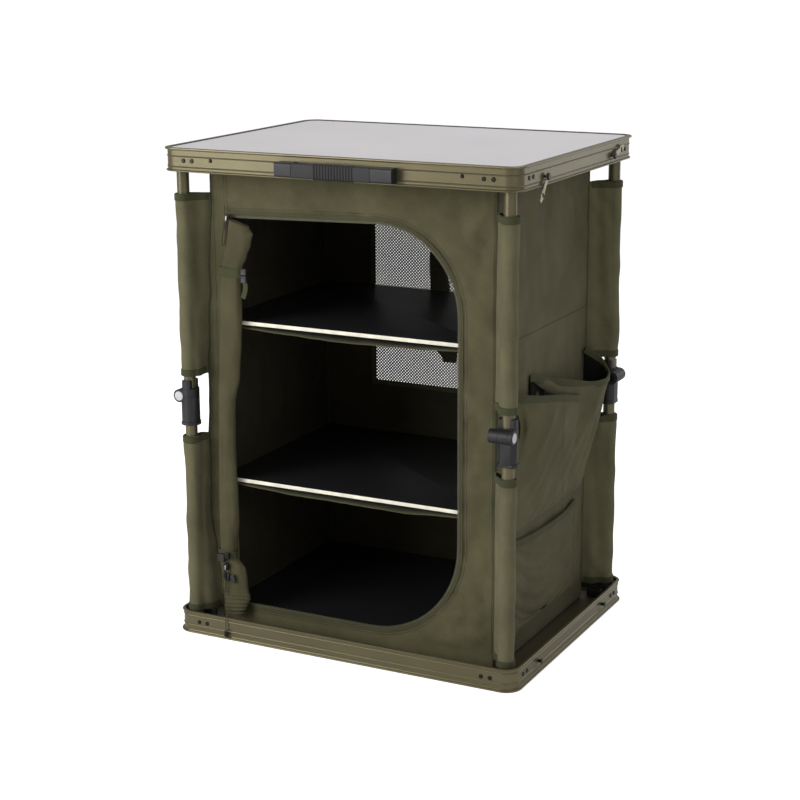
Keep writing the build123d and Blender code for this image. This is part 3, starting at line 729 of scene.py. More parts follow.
def settle(piece, held, outward, slack, inward_cap, outward_cap, frames=18, bending=0.6):
    """Simulates a sheet whose spare cloth buckles between its held points, and keeps the shape.

    held is a test of a point. No point moves further out or in than its cap."""
    rest = [vert.co.copy() for vert in piece.data.vertices]
    group = piece.vertex_groups.new(name="held")
    group.add([i for i, co in enumerate(rest) if held(co)], 1.0, "REPLACE")
    cloth = piece.modifiers.new("settle", "CLOTH")
    cloth.settings.quality = 6
    cloth.settings.mass = 0.15
    cloth.settings.tension_stiffness = 40
    cloth.settings.compression_stiffness = 40
    cloth.settings.shear_stiffness = 20
    cloth.settings.bending_stiffness = bending
    cloth.settings.tension_damping = 25
    cloth.settings.air_damping = 2
    cloth.settings.shrink_min = -slack
    cloth.settings.vertex_group_mass = "held"
    cloth.collision_settings.use_collision = False
    cloth.collision_settings.use_self_collision = False
    cloth.point_cache.frame_start = 1
    cloth.point_cache.frame_end = frames
    for number in range(1, frames + 1):
        bpy.context.scene.frame_set(number)
    applied(piece)
    bpy.context.scene.frame_set(1)
    piece.vertex_groups.clear()
    for vert, start in zip(piece.data.vertices, rest):
        moved = vert.co - start
        lift = moved.dot(outward)
        level = moved - outward * lift
        if level.length > 0.003:
            level = level.normalized() * 0.003
        vert.co = start + level + outward * max(-inward_cap, min(outward_cap, lift))
    return piece


def made_cloth(piece, thickness, outside=False, subdivide=1, lined=False, lining="lining"):
    """Gives a sheet its thickness and smooths it; a lined sheet shows a darker inner side, which is
    painted shade.
    """
    if subdivide:
        modified(piece, "SUBSURF", levels=subdivide, render_levels=subdivide)
    if lined:
        piece.data.materials.append(finishes[lining])
    modified(
        piece,
        "SOLIDIFY",
        thickness=thickness,
        offset=1.0 if outside else -1.0,
        material_offset=1 if lined else 0,
    )
    return applied(piece)


def slouch(point):
    """How far the cabinet's front left corner leans out between its seams."""
    lean = 0.0
    for (z0, first), (z1, second) in zip(corner_lean, corner_lean[1:]):
        if z0 <= point.z <= z1:
            lean = first + (second - first) * smooth_share(point.z, z0, z1)
    waver = 0.0022 * noise.noise(Vector((7.0, 0, point.z * 26))) * min(1.0, lean / 0.005)
    away = math.hypot(point.x - cloth_low.x, point.y - cloth_low.y)
    return Vector((-(lean + waver) * (1 - smooth_share(away, 0.0, 0.042)), 0, 0))


def slouched(piece):
    """Moves a piece's points with the slouch of the front left corner."""
    for vert in piece.data.vertices:
        vert.co += slouch(vert.co)
    return piece


def crease_height(across, up, creases):
    """Height of a sheet's creases at a place of the sheet."""
    height = 0.0
    for (x0, z0), (x1, z1), half, deep in creases:
        run = Vector((x1 - x0, z1 - z0))
        spot = Vector((across - x0, up - z0))
        share = spot.dot(run) / run.length_squared
        off = (spot - run * share).length / half
        height += deep * math.exp(-off * off) * arch(share, 0.6)
    return height


def line_place(points, share):
    """The place at a share of a line of points, by length."""
    spots = [Vector(point) for point in points]
    runs = [(b - a).length for a, b in zip(spots, spots[1:])]
    left = share * sum(runs)
    for a, b, run in zip(spots, spots[1:], runs):
        if left <= run or b is spots[-1]:
            return a + (b - a) * (left / run)
        left -= run


def smooth_share(value, low, high):
    """A soft step from 0 at low to 1 at high."""
    t = max(0.0, min(1.0, (value - low) / (high - low)))
    return t * t * (3 - 2 * t)


def arch(share, fullness=0.8):
    """A smooth arch, 0 at both ends and 1 in the middle."""
    return max(0.0, math.sin(math.pi * max(0.0, min(1.0, share)))) ** fullness


class Step:
    """What every operator of the cupboard shares."""

    bl_options = {"REGISTER", "UNDO"}

    def execute(self, context):
        """Builds the pieces; a piece that can't be made raises its own error."""
        self.build()
        return {"FINISHED"}


# Stage


class CUPBOARD_OT_stage(Step, bpy.types.Operator):
    """Sets up the camera, soft lights, pale floor and white surroundings, and the materials."""

    bl_idname = "cupboard.stage"
    bl_label = "Stage and Materials"

    sensor_width = 36.0
    floor_half_width = 60.0
    floor_glow = 0.70
    room_light = 0.36
    # Name, place, size across and power in watts
    lamps = (
        ("key_light", Vector((-1.8, -2.55, 1.45)), 2.2, 73.0),
        ("fill_light", Vector((2.8, -1.6, 1.7)), 1.6, 14.0),
        ("side_light", Vector((1.7, 2.8, 1.0)), 1.8, 10.0),
        ("top_light", Vector((0.3, 0.9, 2.9)), 2.0, 24.0),
    )

    def build(self):
        make_finishes()
        scene = bpy.context.scene
        scene.view_settings.view_transform = "Standard"
        self.add_camera(scene)
        self.add_lights(scene)
        self.add_floor()

    def add_camera(self, scene):
        lens = bpy.data.cameras.new("photo_camera")
        lens.lens = camera_lens
        lens.sensor_width = self.sensor_width
        camera = bpy.data.objects.new("photo_camera", lens)
        scene.collection.objects.link(camera)
        turn, pitch, roll = (
            Matrix.Rotation(math.radians(angle), 4, axis)
            for angle, axis in ((camera_turn, "Z"), (camera_pitch, "X"), (camera_roll, "Z"))
        )
        camera.matrix_world = Matrix.Translation(camera_place) @ (turn @ pitch) @ roll
        scene.camera = camera

    def add_lights(self, scene):
        centre = Vector((0.0, 0.0, cad_high.z / 2))
        for name, place, size, power in self.lamps:
            light = bpy.data.lights.new(name, "AREA")
            light.shape = "DISK"
            light.size = size
            light.energy = power
            lamp = bpy.data.objects.new(name, light)
            lamp.location = place
            lamp.rotation_euler = (centre - place).to_track_quat("-Z", "Y").to_euler()
            scene.collection.objects.link(lamp)
        world = bpy.data.worlds.new("white_room")
        world.use_nodes = True
        tree = world.node_tree
        lit = tree.nodes["Background"]
        lit.inputs["Color"].default_value = (1, 1, 1, 1)
        lit.inputs["Strength"].default_value = self.room_light
        shown = node(tree, "ShaderNodeBackground", {"Color": (1, 1, 1, 1), "Strength": 1.0})
        path = node(tree, "ShaderNodeLightPath").outputs
        seen = math_node(tree, "MAXIMUM", path["Is Camera Ray"], path["Is Transmission Ray"])
        mixed = node(tree, "ShaderNodeMixShader", {0: seen, 1: lit.outputs[0], 2: shown.outputs[0]})
        tree.links.new(mixed.outputs[0], tree.nodes["World Output"].inputs["Surface"])
        scene.world = world

    def add_floor(self):
        bm = bmesh.new()
        bmesh.ops.create_grid(bm, x_segments=2, y_segments=2, size=self.floor_half_width)
        mesh = bpy.data.meshes.new("floor")
        bm.to_mesh(mesh)
        bm.free()
        material, tree, shader = blank("pale_floor", 0.7)
        shader.inputs["Base Color"].default_value = settings()[2].floor
        path = node(tree, "ShaderNodeLightPath").outputs
        glow = math_node(tree, "MULTIPLY", path["Is Camera Ray"], self.floor_glow)
        tree.links.new(glow, shader.inputs["Emission Strength"])
        shader.inputs["Emission Color"].default_value = (1, 1, 1, 1)
        mesh.materials.append(material)
        floor = bpy.data.objects.new("floor", mesh)
        bpy.context.scene.collection.objects.link(floor)


# Trays


def round_case(half_width, half_depth, radius, steps=10):
    """Stations round the case's outline, each with its x outward."""
    stations = []
    sides = ((1, 1), (-1, 1), (-1, -1), (1, -1))
    for quarter, (side_x, side_y) in enumerate(sides):
        for step in range(steps + 1):
            angle = (quarter + step / steps) * math.pi / 2
            x = side_x * (half_width - radius) + radius * math.cos(angle)
            y = side_y * (half_depth - radius) + radius * math.sin(angle)
            stations.append(Matrix.Translation((x, y, 0)) @ Matrix.Rotation(angle, 4, "Z"))
    return stations + stations[:1]


class CUPBOARD_OT_trays(Step, bpy.types.Operator):
    """Rolls the two tray rims and fits their boards, brackets and fasteners."""

    bl_idname = "cupboard.trays"
    bl_label = "Trays"

    flange_width = 0.008
    flange_thickness = 0.003
    wall_inset = 0.004
    wall_thickness = 0.002
    lip_inset = 0.0015
    lip_thickness = 0.0025
    rib_levels = (0.012, 0.028)
    rib_half = 0.0011
    rib_stand = 0.0012
    ledge_level = 0.006
    ledge_reach = 0.010
    ledge_thickness = 0.0016
    board_inset = 0.0083
    board_edge = 0.0006

    def rim_profile(self):
        """The rim's closed outline, as its inset and its distance from the flange's flat face."""
        outside = [
            (self.flange_width, 0.0),
            (0.0010, 0.0),
            (0.0003, 0.0005),
            (0.0, 0.0015),
            (0.0003, 0.0025),
            (0.0010, self.flange_thickness),
            (self.wall_inset - 0.0006, self.flange_thickness + 0.0002),
            (self.wall_inset, self.flange_thickness + 0.0010),
        ]
        for level in self.rib_levels:
            middle = level + 0.0008
            outside += [
                (self.wall_inset, middle - self.rib_half),
                (self.wall_inset - self.rib_stand * 0.75, middle - self.rib_half * 0.5),
                (self.wall_inset - self.rib_stand, middle),
                (self.wall_inset - self.rib_stand * 0.75, middle + self.rib_half * 0.5),
                (self.wall_inset, middle + self.rib_half),
            ]
        inner = self.wall_inset + self.wall_thickness
        edge = rim_height
        return outside + [
            (self.wall_inset, edge - self.lip_thickness - 0.0006),
            (self.lip_inset + 0.0008, edge - self.lip_thickness),
            (self.lip_inset, edge - self.lip_thickness + 0.0008),
            (self.lip_inset, edge - 0.0008),
            (self.lip_inset + 0.0008, edge),
            (inner, edge),
            (inner, self.ledge_level + self.ledge_thickness),
            (inner + self.ledge_reach, self.ledge_level + self.ledge_thickness),
            (inner + self.ledge_reach, self.ledge_level),
            (inner, self.ledge_level),
            (inner, self.flange_thickness),
            (self.flange_width, self.flange_thickness),
            (self.flange_width, 0.0),
        ]

    def add_rim(self, name, level, way):
        bm = bmesh.new()
        section = [(-inset, 0, level + way * reach) for inset, reach in self.rim_profile()]
        sweep(bm, section, round_case(case_half_width, case_half_depth, case_corner))
        closed_up(bm)
        bm.normal_update()
        # Flange faces that look inward get the dark edge finish: painted shade in the recess round
        # the table top
        for face in bm.faces:
            centre = face.calc_center_median()
            outward = Vector((centre.x, centre.y, 0)).dot(face.normal)
            if outward < -0.05 and abs(centre.z - level) < self.flange_thickness:
                face.material_index = 1
        finish = ("paint", "board_edge")
        rim = add_piece(name + "_finish", bm, body_of_node[name], finish, metal_angle)
        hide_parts(name)

    def add_board(self):
        """The pale table top, whose edge faces are dark as painted shade in the recess round it."""
        low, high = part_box("top_board")
        bm = bmesh.new()
        inset, reach, soft = self.board_inset, case_corner, self.board_edge
        section = [
            (-reach, 0, low.z),
            (-inset, 0, low.z),
            (-inset, 0, high.z - 2 * soft),
            (-inset - soft, 0, high.z - soft),
            (-reach, 0, high.z - soft),
        ]
        sweep(bm, section, round_case(case_half_width, case_half_depth, case_corner))
        # Upright faces of the board get the dark edge finish: painted shade
        for face in closed_up(bm).faces:
            face.material_index = 0 if abs(face.normal.z) > 0.4 else 1
        board = add_piece("top_board_finish", bm, "top", ("board", "board_edge"), metal_angle)
        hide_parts("top_board")

    def build(self):
        hardware = settings()[1]
        self.add_rim("bottom_rim", 0.0, 1.0)
        self.add_rim("top_rim", tray_high.z, -1.0)
        self.add_board()
        repainted("bottom_panel", "tray_floor")
        repainted("floor_board", "shelf")
        for name in ("bottom_corner_brackets", "top_corner_brackets"):
            dressed(name, "plastic", hardware.edge)
        for name in ("bottom_rivets", "top_rivets", "catch_studs", "top_screws"):
            dressed(name, "fixing", hardware.edge)
        for name in ("bottom_leg_pins", "top_leg_pins"):
            repainted(name, "steel")


# Legs


class CUPBOARD_OT_legs(Step, bpy.types.Operator):
    """Paints the tubes and finishes the offset knees."""

    bl_idname = "cupboard.legs"
    bl_label = "Legs and Knees"

    def build(self):
        hardware = settings()[1]
        for leg in leg_names:
            for half in ("lower", "upper"):
                repainted(f"{half}_tube_{leg}", "paint")
                knuckle = dressed(f"knuckle_{half}_{leg}", "plastic", hardware.plastic_edge)
            pin = dressed(f"knuckle_pin_{leg}", ("cap", "fixing"), hardware.edge)
            low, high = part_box(f"knuckle_pin_{leg}")
            axis = 1 if high.y - low.y > high.x - low.x else 0
            out = 1 if (low + high)[axis] > 0 else -1
            cap_face = high[axis] if out > 0 else low[axis]
            for face in pin.data.polygons:
                face.material_index = 0 if abs(face.center[axis] - cap_face) < 0.002 else 1


# Sleeves and wings


class CUPBOARD_OT_sleeves(Step, bpy.types.Operator):
    """Sews the cloth sleeves round the legs and the wings that tie them to the cabinet."""

    bl_idname = "cupboard.sleeves"
    bl_label = "Leg Sleeves"

    sleeve_pitch = 0.006
    wing_pitch = 0.005
    # How far a wing's cloth moves: both layers together, each layer alone, where a layer hangs open
    # at the knee, and where it stands off the sleeve
    joint_fold, joint_wave = 0.0042, 0.0016
    layer_fold = 0.0026
    knee_opening = 0.0018
    sleeve_puff = 0.0022
    # Folds towards the seams; the back right wing, which is seen best, has deeper ones
    seam_fold = {"fl": 0.0026, "fr": 0.0026, "br": 0.0060, "bl": 0.0026}

    def add_sleeve(self, leg, half, seed):
        """The tube of cloth that moves with a leg."""
        name = f"sleeve_{half}_{leg}"
        low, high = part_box(name)
        centre = (low + high) / 2
        radius = (high.x - low.x) / 2 - 0.0010
        upright = Matrix.Rotation(math.pi / 2, 4, "X")
        levels = spread(low.z, high.z, round((high.z - low.z) / self.sleeve_pitch))
        bm = bmesh.new()
        stations = [Matrix.Translation((centre.x, centre.y, z)) @ upright for z in levels]
        sweep(bm, circle_section(radius, 28), stations)
        closed_up(bm, fill=False)
        for vert in bm.verts:
            away = Vector((vert.co.x - centre.x, vert.co.y - centre.y, 0)).normalized()
            spot = Vector((vert.co.x * 70, vert.co.y * 70, vert.co.z * 18 + seed))
            vert.co += away * max(0.0, 0.0009 * noise.noise(spot))
        sleeve = add_piece(name + "_cloth", bm, body_of_node[name], "thin_cloth", sleeve_angle)
        made_cloth(sleeve, 0.0006, subdivide=0)
        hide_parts(name)

    def wing_line(self, axis, corner, radius):
        """A wing's plan line, from the cabinet's corner round the sleeve and back to the corner."""
        away = axis - corner
        facing = math.atan2(away.y, away.x) + math.pi
        opening = math.acos(radius / away.length)
        turns = [facing + opening + (2 * math.pi - 2 * opening) * i / 15 for i in range(16)]
        arc = [axis + radius * Vector((math.cos(turn), math.sin(turn), 0)) for turn in turns]
        first = [corner + (arc[0] - corner) * i / 8 for i in range(8)]
        last = [corner + (arc[-1] - corner) * i / 8 for i in range(7, -1, -1)]
        return first + arc + last

    def add_wing(self, leg, half, seed):
        """A loop of cloth from the cabinet's corner round the sleeve, slack between the two."""
        cloth = settings()[0]
        low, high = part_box(f"sleeve_{half}_{leg}")
        axis = Vector(((low.x + high.x) / 2, (low.y + high.y) / 2, 0))
        side_x, side_y = (1 if axis.x > 0 else -1), (1 if axis.y > 0 else -1)
        corner = Vector((side_x * (cloth_high.x - 0.0008), side_y * (cloth_high.y - 0.0008), 0))
        reach = (axis - corner).length
        away = (axis - corner).normalized()
        across = away.cross(UP)
        knee_end = high.z if half == "lower" else low.z
        line = self.wing_line(axis, corner, (high.x - low.x) / 2 + 0.0006)

        def displaced(co):
            share = (co - corner).dot(away) / reach
            slack = arch(share / 0.95, 1.0)
            side = 1 if (co - corner).dot(across) > 0 else -1
            end = min(co.z - low.z, high.z - co.z)
            knee = abs(co.z - knee_end)
            spot = Vector((share * 2.2, co.z * 9 + seed, seed))
            wave = self.joint_wave * math.sin(share * 9 + co.z * 12 + seed)
            common = self.joint_fold * noise.noise(spot) + wave
            single = self.layer_fold * noise.noise(spot * 1.7 + Vector((side * 4.0, 0, 0))) * share
            lean = Vector((share * 2.0 + side * co.z * 30, co.z * 12, seed + 3.0))
            gathered = self.seam_fold[leg] * noise.noise(lean) * (1 - smooth_share(end, 0.02, 0.12))
            open_end = self.knee_opening * side * (1 - smooth_share(knee, 0.0, 0.03))
            out = Vector((co.x - axis.x, co.y - axis.y, 0)).normalized()
            puff = max(0.0, self.sleeve_puff * noise.noise(lean * 0.8) + 0.0008)
            puff *= smooth_share(share, 0.8, 1.0)
            return co + across * slack * (common + single + gathered + open_end) + out * puff

        levels = spread(low.z, high.z, round((high.z - low.z) / self.wing_pitch))
        bm = bmesh.new()
        sweep(bm, line, [Matrix.Translation((0, 0, z)) for z in levels])
        closed_up(bm, fill=False)
        for vert in bm.verts:
            vert.co = displaced(vert.co)
        wing = add_piece(f"leg_wing_{half}_{leg}", bm, "base", "thin_cloth", sleeve_angle)
        made_cloth(wing, 0.0008, subdivide=0)
        hems = []
        for end, z in (("foot", low.z + cloth.hem / 2), ("head", high.z - cloth.hem / 2)):
            path = [displaced(point + UP * z) for point in line[1:-1]]
            name = f"leg_wing_{half}_{leg}_hem_{end}"
            hems.append(add_upright_band(name, path, cloth.hem, 0.0026))
        for piece in [wing] + hems:
            if leg == "fl":
                slouched(piece)
            flattens(piece)
        return wing

    def build(self):
        for number, leg in enumerate(leg_names):
            for half in ("lower", "upper"):
                seed = number * 5.3 + (2.1 if half == "upper" else 0.0)
                self.add_sleeve(leg, half, seed)
                self.add_wing(leg, half, seed)
        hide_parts("leg_wings")


# Cabinet walls


def quarter_arc(x, z, radius, start):
    """Points of a quarter circle from a start angle, seen from the front."""
    turns = spread(start, start + math.pi / 2, 16)
    return [(x + radius * math.cos(turn), z + radius * math.sin(turn)) for turn in turns]


def doorway_area():
    """The doorway's area, less what its two round corners take."""
    corners = (1 - math.pi / 4) * (door_top_radius**2 + door_bottom_radius**2)
    return (door_right - door_left) * (door_top - door_bottom) - corners


def doorway_outline(inset=0.0):
    """Points round the doorway: from its lower left corner to the right, and back down the left."""
    left, right = door_left + inset, door_right - inset
    bottom, top = door_bottom + inset, door_top - inset
    low_r, high_r = door_bottom_radius - inset, door_top_radius - inset
    points = [(left + (right - low_r - left) * i / 10, bottom) for i in range(10)]
    points += quarter_arc(right - low_r, bottom + low_r, low_r, -math.pi / 2)
    points += [(right, z) for z in spread(bottom + low_r, top - high_r, 14)[1:-1]]
    points += quarter_arc(right - high_r, top - high_r, high_r, 0.0)
    top_left = top - door_top_fall
    slope = zip(spread(right - high_r, left, 10), spread(top, top_left, 10))
    points += list(slope)[1:]
    points += [(left, z) for z in spread(top_left, bottom, left_side_points + 1)[1:-1]]
    return [Vector((x, panel_low.y, z)) for x, z in points]


def inside_outline(point, outline):
    """Whether a point of an upright sheet is inside an outline, seen from the front."""
    inside = False
    for a, b in zip(outline, outline[1:] + outline[:1]):
        if (a.z > point.z) != (b.z > point.z):
            if point.x < a.x + (b.x - a.x) * (point.z - a.z) / (b.z - a.z):
                inside = not inside
    return inside


def nearest_on(point, outline):
    """The nearest point of a closed outline."""
    best = None
    for a, b in zip(outline, outline[1:] + outline[:1]):
        run = b - a
        share = max(0.0, min(1.0, (point - a).dot(run) / run.length_squared))
        spot = a + run * share
        if best is None or (point - spot).length < (point - best).length:
            best = spot
    return best


def window_corners(y):
    """The window's four corners on a level of depth."""
    sides = ((window_low.x, window_low.z), (window_high.x, window_low.z))
    sides += ((window_high.x, window_high.z), (window_low.x, window_high.z))
    return [Vector((x, y, z)) for x, z in sides]


def cut_off(bm, geom, spot, way):
    """Cuts off what lies beyond a plane through a spot."""
    bmesh.ops.bisect_plane(
        bm, geom=geom, plane_co=spot, plane_no=way, clear_outer=True, dist=merge_distance
    )


def cut_opening(bm, outline, plane_y):
    """Cuts an opening of a sheet to an outline."""
    flat = [Vector((p.x, plane_y, p.z)) for p in outline]
    gone = [face for face in bm.faces if inside_outline(face.calc_center_median(), flat)]
    bmesh.ops.delete(bm, geom=gone, context="FACES")
    low = Vector((min(p.x for p in flat), 0, min(p.z for p in flat)))
    high = Vector((max(p.x for p in flat), 0, max(p.z for p in flat)))
    for vert in bm.verts:
        near = low.x - 0.02 < vert.co.x < high.x + 0.02 and low.z - 0.02 < vert.co.z < high.z + 0.02
        if near and vert.is_boundary:
            vert.co = nearest_on(vert.co, flat)


class CUPBOARD_OT_cabinet(Step, bpy.types.Operator):
    """Hangs the cabinet's four cloth walls, with the doorway, the window opening and the seams."""

    bl_idname = "cupboard.cabinet"
    bl_label = "Cabinet Cloth"

    doorway_hold = 0.009
    floor_hold = 0.004
    # Each crease: its two ends on the wall, its half width and its height, in metres
    front_creases = (
        ((0.236, 0.742), (0.186, 0.655), 0.006, 0.0042),
        ((0.238, 0.700), (0.205, 0.615), 0.005, -0.0034),
        ((0.236, 0.045), (0.186, 0.095), 0.006, 0.0036),
        ((0.238, 0.085), (0.205, 0.160), 0.006, -0.0030),
        ((-0.236, 0.745), (-0.208, 0.685), 0.005, 0.0034),
        ((-0.234, 0.700), (-0.222, 0.620), 0.005, -0.0034),
        ((-0.226, 0.735), (-0.200, 0.700), 0.005, -0.0026),
        ((0.120, 0.752), (0.170, 0.700), 0.007, -0.0018),
    )
    right_creases = (
        ((0.104, 0.730), (0.180, 0.615), 0.006, 0.0060),
        ((0.092, 0.725), (0.166, 0.610), 0.006, -0.0050),
        ((-0.165, 0.735), (-0.100, 0.640), 0.010, -0.0022),
        ((-0.090, 0.590), (0.060, 0.520), 0.012, -0.0018),
    )

    def add_wall(self, name, corner, across, seed, opening, caps, slack):
        """A cloth wall whose spare cloth buckles between its seams."""
        cloth = settings()[0]
        height = UP * (cloth_high.z - cloth_low.z)
        outward = across.cross(UP).normalized()
        bm = flat_sheet(corner, across, height, cloth.mesh)
        if opening:
            cut_opening(bm, opening, corner.y)
        far = corner + across
        seams = shelf_levels + ((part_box("lower_pocket")[0].z,) if name == "right_wall" else ())

        def slack_at(co):
            side = min((co - corner).dot(across.normalized()), (far - co).dot(across.normalized()))
            ends = min(co.z - floor_level - self.floor_hold, cloth_high.z - co.z)
            level = min(abs(co.z - z) for z in seams)
            share = smooth_share(side, 0.0, 0.03) * smooth_share(ends, 0.0, 0.03)
            share *= smooth_share(level, 0.006, 0.04)
            if opening:
                gap = (nearest_on(Vector((co.x, corner.y, co.z)), opening_flat) - co).length
                share *= smooth_share(gap, self.doorway_hold, 0.03)
            return share

        opening_flat = [Vector((p.x, corner.y, p.z)) for p in opening] if opening else None
        rumple(bm, cloth.wrinkle, (0.05, 0.05, 0.11), seed, outward, slack_at)
        rumple(bm, cloth.wrinkle * 0.5, (0.02, 0.02, 0.03), seed + 4.0, outward, slack_at)
        wall = add_piece(name + "_cloth", bm, "base", "cloth", sheet_angle)
        settle(wall, lambda co: slack_at(co) < 0.02, outward, cloth.slack * slack, *caps)
        creases = {"front_panel": self.front_creases, "right_wall": self.right_creases}.get(name, ())
        for vert in wall.data.vertices:
            level = vert.co.x if abs(across.x) > abs(across.y) else vert.co.y
            loose = min(1.0, 3 * slack_at(vert.co))
            vert.co += outward * crease_height(level, vert.co.z, creases) * loose
        # The lined inner side is darker than the cloth: painted shade inside the cabinet
        made_cloth(wall, cloth.thickness, lined=True)
        slouched(wall)
        flattens(wall)
        return wall

    def build(self):
        corner = {
            "fl": Vector((cloth_low.x, cloth_low.y, cloth_low.z)),
            "fr": Vector((cloth_high.x, cloth_low.y, cloth_low.z)),
            "br": Vector((cloth_high.x, cloth_high.y, cloth_low.z)),
            "bl": Vector((cloth_low.x, cloth_high.y, cloth_low.z)),
        }
        wide, deep = cloth_high.x - cloth_low.x, cloth_high.y - cloth_low.y
        tall = cloth_high.z - cloth_low.z
        doorway = doorway_outline()
        window = window_corners(cloth_high.y)
        # Name, first corner, run, seed, opening, how far the cloth moves in and out, spare cloth
        front, right, back, left = (
            self.add_wall(name, corner[leg], across, seed, opening, caps, slack)
            for name, leg, across, seed, opening, caps, slack in (
                ("front_panel", "fl", RIGHT * wide, 1.0, doorway, (0.006, 0.004), 1.6),
                ("right_wall", "fr", BACK * deep, 2.0, None, (0.005, 0.0015), 0.6),
                ("back_wall", "br", LEFT * wide, 3.0, window, (0.004, 0.004), 0.7),
                ("left_wall", "bl", FRONT * deep, 4.0, None, (0.005, 0.004), 0.7),
            )
        )
        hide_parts("front_panel")
        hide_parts("side_walls")
        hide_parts("back_wall")
        window_area = (window_high.x - window_low.x) * (window_high.z - window_low.z)
        for name, wall, way, width, area in (
            ("front", front, FRONT, wide, wide * tall - doorway_area()),
            ("right", right, RIGHT, deep, None),
            ("back", back, BACK, wide, wide * tall - window_area),
            ("left", left, LEFT, deep, None),
        ):
            stitches = self.add_seams(name, wall, way)
        for leg, place in corner.items():
            self.add_corner_seam(leg, place)

    def add_seams(self, name, wall, way):
        """Rows of stitches at the shelf levels and beside the corners, laid on the wall."""
        cloth = settings()[0]
        across = way.cross(UP) * -1
        half = (cloth_high.x if name in ("front", "back") else cloth_high.y) - 0.0045
        face = way * (cloth_high.x if name in ("right", "left") else cloth_high.y)
        rows = []
        for side in (-1, 1):
            foot, head = cloth_low.z + 0.03, cloth_high.z - 0.04
            edge = face + across * side * half
            rows.append([edge + UP * (foot + (head - foot) * i / 60) for i in range(61)])
        if name != "front":
            for level in shelf_levels:
                middle = face + UP * (level + 0.003)
                row = spread(middle + across * half, middle - across * half, 60)
                crossed = name == "back" and window_low.z < level < window_high.z
                if crossed:
                    rows.append([point for point in row if point.x < window_low.x - cloth.binding])
                    rows.append([point for point in row if point.x > window_high.x + cloth.binding])
                else:
                    rows.append(row)
        return flattens(add_stitches(f"{name}_wall_stitches", draped_rows(wall, rows, way), way))

    def add_corner_seam(self, leg, place):
        """A cloth piping down a corner of the cabinet."""
        away = Vector((place.x, place.y, 0)).normalized()
        points = [place + UP * (0.028 + 0.72 * i / 40) - away * 0.0006 for i in range(41)]
        flattens(slouched(add_cord_piping(f"corner_piping_{leg}", points, away, 0.0017)))


class CUPBOARD_OT_doorway(Step, bpy.types.Operator):
    """Binds the doorway with tape, double stitching and the zip's teeth."""

    bl_idname = "cupboard.doorway"
    bl_label = "Doorway"

    def open_side(self, inset):
        """The doorway's outline without its left side, where the door is sewn on."""
        return doorway_outline(inset)[:-left_side_points]

    def build(self):
        cloth = settings()[0]
        front = bpy.data.objects["front_panel_cloth"]
        lift = FRONT * 0.0006
        edge = self.open_side(-0.0030)
        points = [p + lift for p in edge]
        flattens(add_band("doorway_tape", points, FRONT, cloth.binding, 0.0018, "cloth"))
        path = [p + FRONT * 0.0012 for p in self.open_side(0.0008)]
        one = bmesh.new()
        size = Matrix.Diagonal((0.0030, cloth.tooth * 0.62, 0.0014, 1.0))
        bmesh.ops.create_cube(one, size=1.0, matrix=size)
        stations = along_path(evenly(path, cloth.tooth), FRONT)
        flattens(add_piece("doorway_zip_teeth", repeated(one, stations), "base", "zip_teeth"))
        rows = [[p + lift * 2.4 for p in edge]]
        for offset in (-0.0085, -0.0120):
            rows += draped_rows(front, [self.open_side(offset)], FRONT)
        flattens(add_stitches("doorway_stitches", rows, FRONT))
        seam_rows = [
            [Vector((x, panel_low.y, 0.752 - 0.072 * i / 24)) for i in range(25)]
            for x in (-0.2178, -0.2122)
        ]
        flattens(add_stitches("door_side_stitches", draped_rows(front, seam_rows, FRONT), FRONT))


# Window


